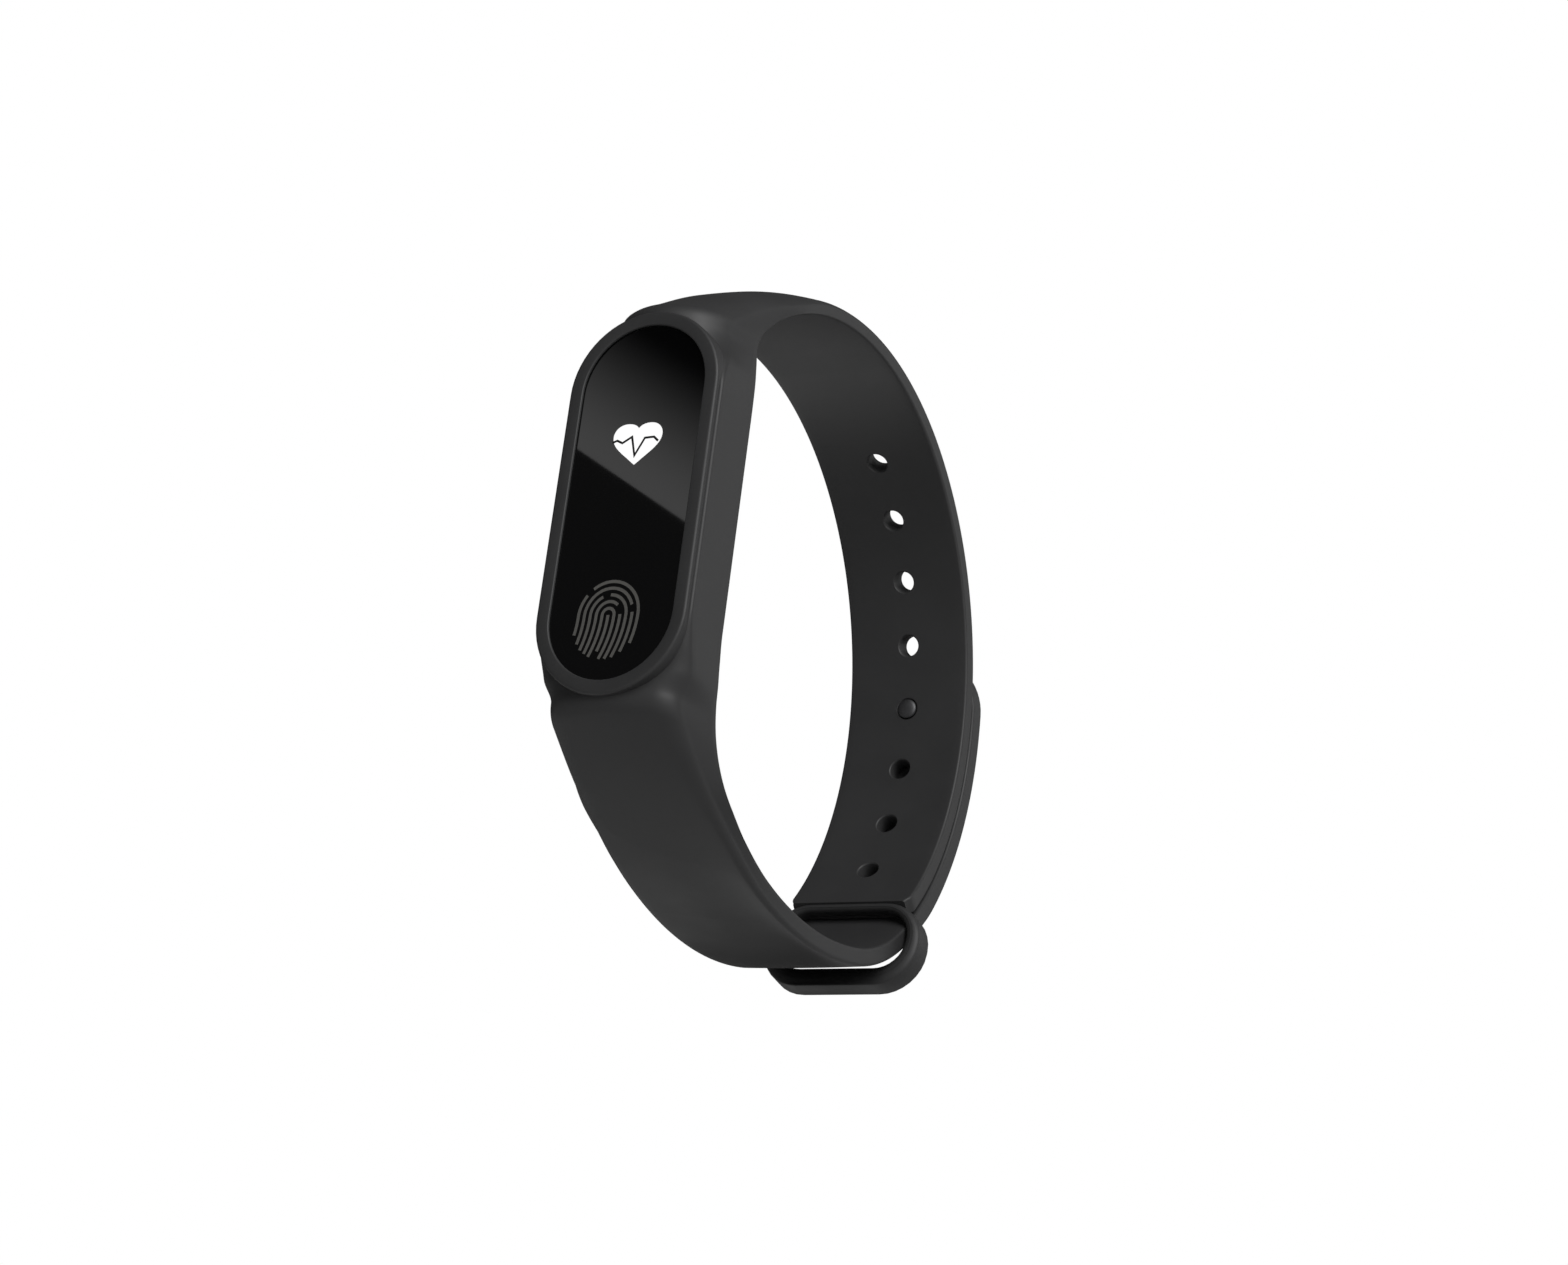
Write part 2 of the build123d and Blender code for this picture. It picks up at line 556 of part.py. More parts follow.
# ---------------------------------------------------------------- main board and what is on it
board_w = cavity_w - 2 * BOARD_EDGE_GAP
board_back = BOARD_DEPTH + BOARD_T
with BuildPart() as main_board:
    with BuildSketch(front_plane(board_back)):
        SlotOverall(stadium(board_w), board_w, rotation=90)
    extrude(amount=BOARD_T)
main_board.part.label = "main_board"
export_step(main_board.part, "parts/main_board.step")

motor_z = -end_z
motor_depth = board_back + BOARD_GAP + MOTOR_R
row_low = motor_z + MOTOR_R + CHIP_GAP
row_high = row_low + CHIP_ROW_H
block_w = cavity_w - 4 * BOARD_EDGE_GAP
right_x = block_w / 2
antenna_z = cavity_end - ANTENNA_END_GAP
battery_low = row_high + CHIP_GAP + GUARD_BOARD_H + CHIP_GAP
battery_l = antenna_z - ANTENNA_H / 2 - CHIP_GAP - battery_low
battery_z = battery_low + battery_l / 2
on_board = board_back + FIT
battery_depth = cavity_back - FIT - TAPE_T - FIT - BATTERY_T
sensor_board_depth = cavity_back + BOARD_GAP
on_sensor_board = sensor_board_depth + BOARD_T + FIT

# each block: (width, height, thickness), (centre across, centre up), depth of its front face
blocks = {
    "processor_chip": (PROCESSOR, (PROCESSOR[0] / 2 - right_x, row_low + CHIP_ROW_H / 2), on_board),
    "power_chip": (POWER_CHIP, (right_x - POWER_CHIP[0] / 2, row_high - POWER_CHIP[1] / 2), on_board),
    "motion_sensor_chip": (
        MOTION_CHIP, (right_x - MOTION_CHIP[0] / 2, row_low + MOTION_CHIP[1] / 2), on_board
    ),
    "clock_crystal": (
        CRYSTAL,
        (right_x - MOTION_CHIP[0] - CHIP_GAP / 2 - CRYSTAL[0] / 2, row_low + CRYSTAL[1] / 2),
        on_board,
    ),
    "bluetooth_antenna": ((ANTENNA_W, ANTENNA_H, ANTENNA_T), (0, antenna_z), on_board),
    "battery_guard_board": (
        (block_w - CHIP_GAP, GUARD_BOARD_H, GUARD_BOARD_T),
        (0, row_high + CHIP_GAP + GUARD_BOARD_H / 2),
        on_board,
    ),
    "battery_cell": ((block_w, battery_l, BATTERY_T), (0, battery_z), battery_depth),
    "battery_tape": (
        (block_w - 4 * CHIP_GAP, battery_l - 4 * CHIP_GAP, TAPE_T), (0, battery_z),
        battery_depth + BATTERY_T + FIT,
    ),
    "sensor_board": ((bump_cavity_w - CHIP_GAP, SENSOR_BOARD_L, BOARD_T), (0, 0), sensor_board_depth),
    "photodiode": (PHOTODIODE, (0, 0), on_sensor_board),
}
for name, ((width, height, thickness), centre, depth) in blocks.items():
    with BuildPart() as block:
        with BuildSketch(front_plane(depth + thickness)):
            with Locations(centre):
                Rectangle(width, height)
        extrude(amount=thickness)
    block.part.label = name
    export_step(block.part, f"parts/{name}.step")

with BuildPart() as sensor_leds:
    with BuildSketch(front_plane(on_sensor_board + LED[2])):
        with GridLocations(0, LED_SPACING, 1, 2):
            Rectangle(LED[0], LED[1])
    extrude(amount=LED[2])
sensor_leds.part.label = "sensor_leds"
export_step(sensor_leds.part, "parts/sensor_leds.step")

with BuildPart() as light_barrier:
    with BuildSketch(front_plane(bump_cavity_back - FIT)):
        barrier_w, barrier_l = PHOTODIODE[0] + 2 * BARRIER_GROWTH, PHOTODIODE[1] + 2 * BARRIER_GROWTH
        RectangleRounded(barrier_w, barrier_l, BARRIER_CORNER)
        Rectangle(PHOTODIODE[0] + BARRIER_GAP, PHOTODIODE[1] + BARRIER_GAP, mode=Mode.SUBTRACT)
    extrude(amount=bump_cavity_back - FIT - on_sensor_board)
light_barrier.part.label = "light_barrier"
export_step(light_barrier.part, "parts/light_barrier.step")

flex_z = row_low + FLEX_T
flex_low_z = -SENSOR_BOARD_L / 2 - 3 * FLEX_T
with BuildPart() as sensor_flex:
    with BuildSketch(front_plane(cavity_back - FIT, (flex_z + flex_low_z) / 2)):
        Rectangle(SENSOR_FLEX_W, abs(flex_low_z - flex_z) + FLEX_T)
    extrude(amount=FLEX_T)
    with BuildSketch(front_plane(cavity_back - FIT, min(flex_z, flex_low_z))):
        Rectangle(SENSOR_FLEX_W, FLEX_T)
    extrude(amount=cavity_back - 2 * FIT - board_back)
    with BuildSketch(front_plane(sensor_board_depth + BOARD_T, flex_low_z)):
        Rectangle(SENSOR_FLEX_W, FLEX_T)
    extrude(amount=sensor_board_depth + BOARD_T - cavity_back + FIT)
sensor_flex.part.label = "sensor_flex"
export_step(sensor_flex.part, "parts/sensor_flex.step")

# ---------------------------------------------------------------- vibration motor, shaft along +X
motor_x = -cavity_w / 2 + 3 * BOARD_EDGE_GAP


def motor_plane(x):
    """Plane square to the motor's shaft, at a distance along it."""
    return Plane(origin=(x, LENS_Y + motor_depth, housing_z + motor_z), x_dir=(0, 1, 0), z_dir=(1, 0, 0))


with BuildPart() as motor_can:
    with BuildSketch(motor_plane(motor_x)):
        Circle(MOTOR_R)
    extrude(amount=MOTOR_L)
    with BuildSketch(motor_plane(motor_x + MOTOR_WALL)):
        Circle(MOTOR_R - MOTOR_WALL)
    extrude(amount=MOTOR_L, mode=Mode.SUBTRACT)
motor_can.part.label = "motor_can"
export_step(motor_can.part, "parts/motor_can.step")

with BuildPart() as motor_bush:
    with BuildSketch(motor_plane(motor_x + MOTOR_L - MOTOR_BUSH_T)):
        Circle(MOTOR_R - MOTOR_WALL)
        Circle(MOTOR_SHAFT_R + FIT, mode=Mode.SUBTRACT)
    extrude(amount=MOTOR_BUSH_T)
motor_bush.part.label = "motor_bush"
export_step(motor_bush.part, "parts/motor_bush.step")

magnet_l = MOTOR_L - MOTOR_WALL - MOTOR_BUSH_T - MOTOR_END_ROOM
with BuildPart() as motor_magnet:
    with BuildSketch(motor_plane(motor_x + MOTOR_WALL)):
        Circle(MOTOR_MAGNET_R)
        Circle(MOTOR_SHAFT_R + MOTOR_COIL_GAP, mode=Mode.SUBTRACT)
    extrude(amount=magnet_l)
motor_magnet.part.label = "motor_magnet"
export_step(motor_magnet.part, "parts/motor_magnet.step")

coil_r = MOTOR_R - MOTOR_WALL - MOTOR_COIL_GAP
with BuildPart() as motor_coil:
    with BuildSketch(motor_plane(motor_x + MOTOR_WALL + MOTOR_COIL_GAP)):
        Circle(coil_r)
        Circle(MOTOR_MAGNET_R + MOTOR_COIL_GAP, mode=Mode.SUBTRACT)
    extrude(amount=magnet_l + MOTOR_COIL_END_T)
    with BuildSketch(motor_plane(motor_x + MOTOR_WALL + magnet_l + MOTOR_COIL_GAP)):
        Circle(coil_r)
        Circle(MOTOR_SHAFT_R, mode=Mode.SUBTRACT)
    extrude(amount=MOTOR_COIL_END_T)
motor_coil.part.label = "motor_coil"
export_step(motor_coil.part, "parts/motor_coil.step")

shaft_start = motor_x + MOTOR_WALL + MOTOR_COIL_GAP
shaft_end = motor_x + MOTOR_L + MOTOR_WEIGHT_GAP + MOTOR_WEIGHT_L
with BuildPart() as motor_shaft:
    with BuildSketch(motor_plane(shaft_start)):
        Circle(MOTOR_SHAFT_R)
    extrude(amount=shaft_end - shaft_start)
motor_shaft.part.label = "motor_shaft"
export_step(motor_shaft.part, "parts/motor_shaft.step")

with BuildPart() as motor_weight:
    with BuildSketch(motor_plane(motor_x + MOTOR_L + MOTOR_WEIGHT_GAP)):
        Circle(MOTOR_WEIGHT_R)
        with Locations((MOTOR_WEIGHT_R / 2 + MOTOR_SHAFT_R * 1.4, 0)):
            Rectangle(MOTOR_WEIGHT_R, 2 * MOTOR_WEIGHT_R, mode=Mode.SUBTRACT)
        Circle(2 * MOTOR_SHAFT_R)
        Circle(MOTOR_SHAFT_R, mode=Mode.SUBTRACT)
    extrude(amount=MOTOR_WEIGHT_L)
motor_weight.part.label = "motor_weight"
export_step(motor_weight.part, "parts/motor_weight.step")
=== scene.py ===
"""Fitness tracker band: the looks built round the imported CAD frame.

Metres, in the frame of the CAD: +X across the strap, -Y out of the screen, +Z up.
"""

import json
import logging
import math
from dataclasses import dataclass, field
from enum import Enum

import bmesh
import bpy
from mathutils import Matrix, Vector

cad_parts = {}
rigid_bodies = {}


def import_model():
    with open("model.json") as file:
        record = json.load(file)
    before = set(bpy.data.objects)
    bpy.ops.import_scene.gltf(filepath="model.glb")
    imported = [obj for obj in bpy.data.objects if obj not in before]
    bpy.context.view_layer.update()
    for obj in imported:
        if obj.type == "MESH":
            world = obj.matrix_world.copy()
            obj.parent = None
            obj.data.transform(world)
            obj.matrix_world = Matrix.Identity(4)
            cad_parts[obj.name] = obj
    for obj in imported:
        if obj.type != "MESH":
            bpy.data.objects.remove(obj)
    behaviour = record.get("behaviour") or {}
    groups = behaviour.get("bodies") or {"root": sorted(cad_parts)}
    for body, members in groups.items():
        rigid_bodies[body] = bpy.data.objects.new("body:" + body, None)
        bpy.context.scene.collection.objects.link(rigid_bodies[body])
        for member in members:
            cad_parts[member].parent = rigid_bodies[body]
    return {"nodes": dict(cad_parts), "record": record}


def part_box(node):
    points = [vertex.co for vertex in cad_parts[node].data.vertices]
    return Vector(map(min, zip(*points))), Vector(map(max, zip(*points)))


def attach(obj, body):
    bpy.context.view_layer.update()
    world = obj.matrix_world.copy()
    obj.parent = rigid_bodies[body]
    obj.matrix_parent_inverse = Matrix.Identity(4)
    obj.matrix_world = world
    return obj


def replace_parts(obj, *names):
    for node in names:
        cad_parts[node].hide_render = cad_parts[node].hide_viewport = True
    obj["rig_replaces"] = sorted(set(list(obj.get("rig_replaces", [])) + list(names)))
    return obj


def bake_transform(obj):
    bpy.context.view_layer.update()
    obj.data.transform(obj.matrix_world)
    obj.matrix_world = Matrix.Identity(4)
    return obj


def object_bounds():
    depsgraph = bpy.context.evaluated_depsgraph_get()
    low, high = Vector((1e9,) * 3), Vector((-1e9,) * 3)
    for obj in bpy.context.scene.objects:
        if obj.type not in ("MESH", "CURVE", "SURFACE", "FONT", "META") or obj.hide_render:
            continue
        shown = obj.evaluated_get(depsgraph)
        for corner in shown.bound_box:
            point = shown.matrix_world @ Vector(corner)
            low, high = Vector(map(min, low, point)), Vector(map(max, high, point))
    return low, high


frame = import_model()
CAD_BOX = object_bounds()

MM = 0.001
TINY = 0.02 * MM
LOG = logging.getLogger("tracker_band")


# ---------------------------------------------------------------- sizes read from the frame
def mount(name: str) -> dict:
    """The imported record's mount of that name."""
    return next(m for m in frame["record"]["mounts"] if m["name"] == name)


def in_plane(point: Vector) -> Vector:
    """The (y, z) part of a point, which is its place in the strap's own plane."""
    return Vector((point[1], point[2]))


@dataclass(frozen=True)
class Loop:
    """The closed strap's circles and thickness, as the CAD has them."""

    centre: Vector
    inner_r: float
    thickness: float
    tail_gap: float = 0.2 * MM
    plain_inner_r: float = 48.1 * MM
    plain_shift: Vector = field(default_factory=lambda: Vector((3.4, 14.8)) * MM)
    turn_r: float = 24.0 * MM

    @property
    def outer_r(self) -> float:
        """Outer radius of the perforated arm."""
        return self.inner_r + self.thickness

    @property
    def tail_inner_r(self) -> float:
        """Inner radius of the tail lying on the perforated arm."""
        return self.outer_r + self.tail_gap

    @property
    def tail_outer_r(self) -> float:
        """Outer radius of the tail."""
        return self.tail_inner_r + self.thickness

    @property
    def plain_centre(self) -> Vector:
        """Centre of the flatter arc that the plain arm follows."""
        return self.centre + self.plain_shift

    def at(self, radius: float, angle: float) -> Vector:
        """The (y, z) point at a radius and an angle in radians about the loop's centre."""
        return self.centre + radius * Vector((math.cos(angle), math.sin(angle)))


def read_loop() -> Loop:
    """The loop's sizes, from the record's mounts.

    Returns:
        The loop with its centre, radius and thickness.
    """
    centre = in_plane(mount("wrist_opening")["pos_m"])
    hole = mount("strap_hole_1")
    thickness = hole["dims"]["length_mm"] * MM
    middle = (in_plane(hole["pos_m"]) - centre).length
    return Loop(centre, middle - thickness / 2, thickness)


LOOP = read_loop()
LENS_LOW, LENS_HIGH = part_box("front_lens")
LENS_Y = LENS_LOW.y
LENS_Z = (LENS_LOW.z + LENS_HIGH.z) / 2
CASE_LOW, CASE_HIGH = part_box("capsule_case")
CASE_HALF = (CASE_HIGH.x - CASE_LOW.x) / 2
CASE_STRAIGHT = (CASE_HIGH.z - CASE_LOW.z) - 2 * CASE_HALF
BUMP_STRAIGHT = 19.4 * MM


# ---------------------------------------------------------------- lines in the strap's plane
@dataclass(frozen=True)
class Arc:
    """Part of a circle in the (y, z) plane, with its angles in radians."""

    centre: Vector
    radius: float
    start: float
    end: float

    def length(self) -> float:
        """Length along the arc."""
        return abs(self.end - self.start) * self.radius

    def at(self, share: float) -> Vector:
        """The point at a share of the arc's length."""
        angle = self.start + share * (self.end - self.start)
        return self.centre + self.radius * Vector((math.cos(angle), math.sin(angle)))


@dataclass(frozen=True)
class Run:
    """A straight line in the (y, z) plane."""

    start: Vector
    end: Vector

    def length(self) -> float:
        """Length of the line."""
        return (self.end - self.start).length

    def at(self, share: float) -> Vector:
        """The point at a share of the line's length."""
        return self.start.lerp(self.end, share)


@dataclass(frozen=True)
class Bend:
    """A soft corner: a quadratic curve drawn towards the corner's point."""

    start: Vector
    corner: Vector
    end: Vector

    def length(self) -> float:
        """Length of the curve, near enough for spacing sections."""
        return ((self.corner - self.start).length + (self.end - self.corner).length) * 0.9

    def at(self, share: float) -> Vector:
        """The point at a share of the curve."""
        return self.start.lerp(self.corner, share).lerp(self.corner.lerp(self.end, share), share)


Part = Arc | Run | Bend


def angle_of(point: Vector, centre: Vector) -> float:
    """Angle in radians, from 0 up to a full turn, of a point about a centre."""
    return math.atan2(point.y - centre.y, point.x - centre.x) % math.tau


def arc_between(centre: Vector, radius: float, start: Vector, end: Vector) -> Arc:
    """The anticlockwise arc about a centre from the direction of one point to that of another."""
    first, last = angle_of(start, centre), angle_of(end, centre)
    return Arc(centre, radius, first, last if last > first else last + math.tau)


def tangent_arc(start: Vector, heading: Vector, end: Vector) -> Arc:
    """The anticlockwise arc that leaves a point along a heading and reaches another point."""
    side = Vector((-heading.y, heading.x)).normalized()
    chord = end - start
    radius = chord.length_squared / (2 * chord.dot(side))
    return arc_between(start + side * radius, radius, start, end)


def circles_meet(first: Vector, first_r: float, second: Vector, second_r: float) -> Vector:
    """Where two circles meet, on the right of the way from the first centre to the second."""
    gap = second - first
    along = (gap.length_squared + first_r**2 - second_r**2) / (2 * gap.length)
    across = math.sqrt(first_r**2 - along**2)
    way = gap.normalized()
    return first + way * along + Vector((way.y, -way.x)) * across


# ---------------------------------------------------------------- mesh helpers
def loft(rings: list[list[Vector]], closed: bool = False) -> bmesh.types.BMesh:
    """Draws one ring of vertices out through a row of others.

    Args:
        rings: Places of each ring's vertices, all rings with the same count.
        closed: Whether the last ring joins the first, instead of both getting a cap.

    Returns:
        A closed mesh with its faces outwards.
    """
    bm = bmesh.new()
    made = bmesh.ops.create_circle(bm, segments=len(rings[0]), radius=1.0, cap_ends=False)
    ring = list(made["verts"])
    first_edges = list(bm.edges)
    for vert, place in zip(ring, rings[0]):
        vert.co = place
    edges = first_edges
    for places in rings[1:]:
        drawn = bmesh.ops.extrude_edge_only(bm, edges=edges)
        edges = [g for g in drawn["geom"] if isinstance(g, bmesh.types.BMEdge)]
        follower = {}
        for edge in edges:
            for vert in edge.verts:
                for link in vert.link_edges:
                    other = link.other_vert(vert)
                    if other in ring and other not in follower.values():
                        follower[vert] = other
        step = {other: vert for vert, other in follower.items()}
        ring = [step[vert] for vert in ring]
        for vert, place in zip(ring, places):
            vert.co = place
    if closed:
        bmesh.ops.bridge_loops(bm, edges=first_edges + edges)
    else:
        bmesh.ops.holes_fill(bm, edges=bm.edges, sides=0)
    bmesh.ops.recalc_face_normals(bm, faces=bm.faces)
    return bm


def finished(bm: bmesh.types.BMesh, name: str, sharp_deg: float = 40.0) -> bpy.types.Object:
    """Turns a bmesh into an object in the scene, smooth except at its sharp edges.

    Args:
        bm: The mesh, which is freed.
        name: The piece's name.
        sharp_deg: Edges that turn by more than this stay sharp.

    Returns:
        The new object, at the origin.
    """
    mesh = bpy.data.meshes.new(name)
    bm.to_mesh(mesh)
    bm.free()
    obj = bpy.data.objects.new(name, mesh)
    bpy.context.scene.collection.objects.link(obj)
    smooth(obj, sharp_deg)
    return obj


def smooth(obj: bpy.types.Object, sharp_deg: float) -> None:
    """Shades an object smooth, with edges that turn by more than sharp_deg kept sharp."""
    obj.data.shade_smooth()
    obj.data.set_sharp_from_angle(angle=math.radians(sharp_deg))


def carve(
    obj: bpy.types.Object, tool: bpy.types.Object, operation: str = "DIFFERENCE", sharp_deg: float = 40.0
) -> None:
    """Cuts a tool out of an object, or joins it on, and removes the tool.

    Args:
        obj: The piece that changes.
        tool: A closed mesh object.
        operation: DIFFERENCE or UNION.
        sharp_deg: Edges that turn by more than this stay sharp.
    """
    modifier = obj.modifiers.new("carve", "BOOLEAN")
    modifier.operation = operation
    modifier.object = tool
    modifier.solver = "EXACT"
    graph = bpy.context.evaluated_depsgraph_get()
    result = bpy.data.meshes.new_from_object(obj.evaluated_get(graph))
    obj.modifiers.clear()
    old = obj.data
    obj.data = result
    result.name = obj.name
    bpy.data.meshes.remove(old)
    bpy.data.objects.remove(tool)
    smooth(obj, sharp_deg)


def stadium_ring(half_width: float, straight: float, depth: float, segments: int = 24) -> list[Vector]:
    """Points round a stadium that faces the wearer, about the lens's centre.

    Args:
        half_width: Radius of the round ends.
        straight: Length of the straight sides.
        depth: Distance behind the lens's surface.
        segments: Steps in each round end.

    Returns:
        The points, anticlockwise as the wearer sees them.
    """
    points = []
    for end in (1, -1):
        for i in range(segments + 1):
            angle = math.pi * i / segments + (0 if end > 0 else math.pi)
            points.append(
                Vector((
                    half_width * math.cos(angle),
                    LENS_Y + depth,
                    LENS_Z + end * straight / 2 + half_width * math.sin(angle),
                ))
            )
    return points


# ---------------------------------------------------------------- the strap's sections
# steps along half a section: skin side, skin edge, flank, outer edge and outside
SKIN_STEPS, SKIN_EDGE_STEPS, FLANK_STEPS, EDGE_STEPS, OUTSIDE_STEPS = 8, 5, 6, 7, 12


@dataclass(frozen=True)
class Section:
    """The rounded shape that the strap has where it is cut across.

    Its half widths are those of the outside and of the skin side. The crown is how far the outside
    falls from its middle to its edges, and the lift is how far its middle stands past the outer line.
    """

    front_half: float
    back_half: float
    crown: float
    edge: float
    skin_edge: float
    lift: float = 0.0

    def values(self) -> tuple[float, ...]:
        """The section's sizes, in order."""
        return (self.front_half, self.back_half, self.crown, self.edge, self.skin_edge, self.lift)

    def half_outline(self, thickness: float) -> list[Vector]:
        """Points (x, height) from the middle of the skin side round to the middle of the outside."""
        edge = min(self.edge, thickness * 0.45, self.front_half * 0.9)
        skin = min(self.skin_edge, thickness * 0.4, self.back_half * 0.9)
        points = [Vector(((self.back_half - skin) * i / SKIN_STEPS, 0)) for i in range(SKIN_STEPS)]
        points += corner(Vector((self.back_half - skin, skin)), skin, -90, 0, SKIN_EDGE_STEPS)
        low = Vector((self.back_half, skin))
        high = Vector((self.front_half, thickness - edge))
        points += [low.lerp(high, i / FLANK_STEPS) for i in range(1, FLANK_STEPS)]
        turn_at = Vector((self.front_half - edge, thickness - edge))
        points += corner(turn_at, edge, 0, 90, EDGE_STEPS)
        points += [
            Vector((turn_at.x * (1 - i / OUTSIDE_STEPS), thickness)) for i in range(1, OUTSIDE_STEPS + 1)
        ]
        for point in points:
            drop = self.crown * (point.x / self.front_half) ** 2
            point.y -= drop * point.y / thickness
        return points

    def ring(self, inner: Vector, outer: Vector) -> list[Vector]:
        """The section's points in space, from its skin side and outer points (y, z)."""
        up = outer - inner
        half = self.half_outline(up.length + self.lift)
        full = half + [Vector((-p.x, p.y)) for p in reversed(half[1:-1])]
        up.normalize()
        return [Vector((p.x, inner.x + up.x * p.y, inner.y + up.y * p.y)) for p in full]


def corner(centre: Vector, radius: float, start: float, end: float, steps: int) -> list[Vector]:
    """Points on a quarter of a circle, with its angles in degrees."""
    angles = [math.radians(start + (end - start) * i / steps) for i in range(steps + 1)]
    return [centre + radius * Vector((math.cos(a), math.sin(a))) for a in angles]


def rounded_edge(
    end: float, half: float, radius: float, way: int = 1, steps: int = 6
) -> list[tuple[float, float]]:
    """Depths and half widths round an edge, from the side over to the face.

    Args:
        end: Depth of the face.
        half: Half width of the side.
        radius: The edge's radius.
        way: 1 if the face is at the side's far end, -1 if it is at the near one.
        steps: Steps round the edge.

    Returns:
        Pairs of a depth and a half width.
    """
    turns = [math.radians(90 * i / steps) for i in range(steps + 1)]
    return [
        (end - way * radius + way * radius * math.sin(t), half - radius + radius * math.cos(t)) for t in turns
    ]


@dataclass(frozen=True)
class Knot:
    """Where a section is set: a place on the outer and on the skin line, and steps from there on."""

    outer: tuple[int, float]
    inner: tuple[int, float]
    section: Section
    steps: int


def run_lengths(parts: list[Part]) -> list[float]:
    """Distance along a line at which each of its parts starts, and the whole length."""
    marks = [0.0]
    for part in parts:
        marks.append(marks[-1] + part.length())
    return marks


def point_along(parts: list[Part], marks: list[float], distance: float) -> Vector:
    """The point at a distance along a line made of parts."""
    for part, low, high in zip(parts, marks, marks[1:]):
        if distance <= high or part is parts[-1]:
            return part.at((distance - low) / (high - low))
    raise ValueError("a line needs at least one part")


def eased_value(marks: list[float], values: list[float], place: float) -> float:
    """A value at a place between marks, on a smooth line that overshoots none of the given values."""
    last = len(marks) - 2
    at = max(i for i in range(last + 1) if i == 0 or marks[i] <= place)

    def slope(i: int) -> float:
        """Slope of the line at a mark."""
        if i in (0, last + 1):
            return 0.0
        before = (values[i] - values[i - 1]) / (marks[i] - marks[i - 1])
        after = (values[i + 1] - values[i]) / (marks[i + 1] - marks[i])
        return 2 * before * after / (before + after) if before * after > 0 else 0.0

    span = marks[at + 1] - marks[at]
    t = (place - marks[at]) / span
    return (
        values[at] * (1 + 2 * t) * (1 - t) ** 2
        + values[at + 1] * t * t * (3 - 2 * t)
        + slope(at) * span * t * (1 - t) ** 2
        - slope(at + 1) * span * t * t * (1 - t)
    )


def strap_rings(outer: list[Part], inner: list[Part], knots: list[Knot]) -> list[list[Vector]]:
    """Rings of a strap whose outer and skin lines are given.

    Args:
        outer: The outer line.
        inner: The skin line.
        knots: Places where the section is set.

    Returns:
        One ring of points for each section.
    """
    outer_marks, inner_marks = run_lengths(outer), run_lengths(inner)

    def distance(marks: list[float], place: tuple[int, float]) -> float:
        """Distance along a line of a place given as its part and a share of it."""
        part, share = place
        return marks[part] + share * (marks[part + 1] - marks[part])

    rings = []
    knot_marks = [distance(outer_marks, knot.outer) for knot in knots]
    columns = list(zip(*(knot.section.values() for knot in knots)))
    for here, there in zip(knots, knots[1:]):
        spans = [
            (distance(marks, a), distance(marks, b))
            for marks, a, b in (
                (outer_marks, here.outer, there.outer),
                (inner_marks, here.inner, there.inner),
            )
        ]
        last = 1 if there is knots[-1] else 0
        for i in range(here.steps + last):
            share = i / here.steps
            out, skin = (
                point_along(parts, marks, low + share * (high - low))
                for parts, marks, (low, high) in (
                    (outer, outer_marks, spans[0]),
                    (inner, inner_marks, spans[1]),
                )
            )
            place = spans[0][0] + share * (spans[0][1] - spans[0][0])
            section = Section(*(eased_value(knot_marks, list(column), place) for column in columns))
            rings.append(section.ring(skin, out))
    return rings


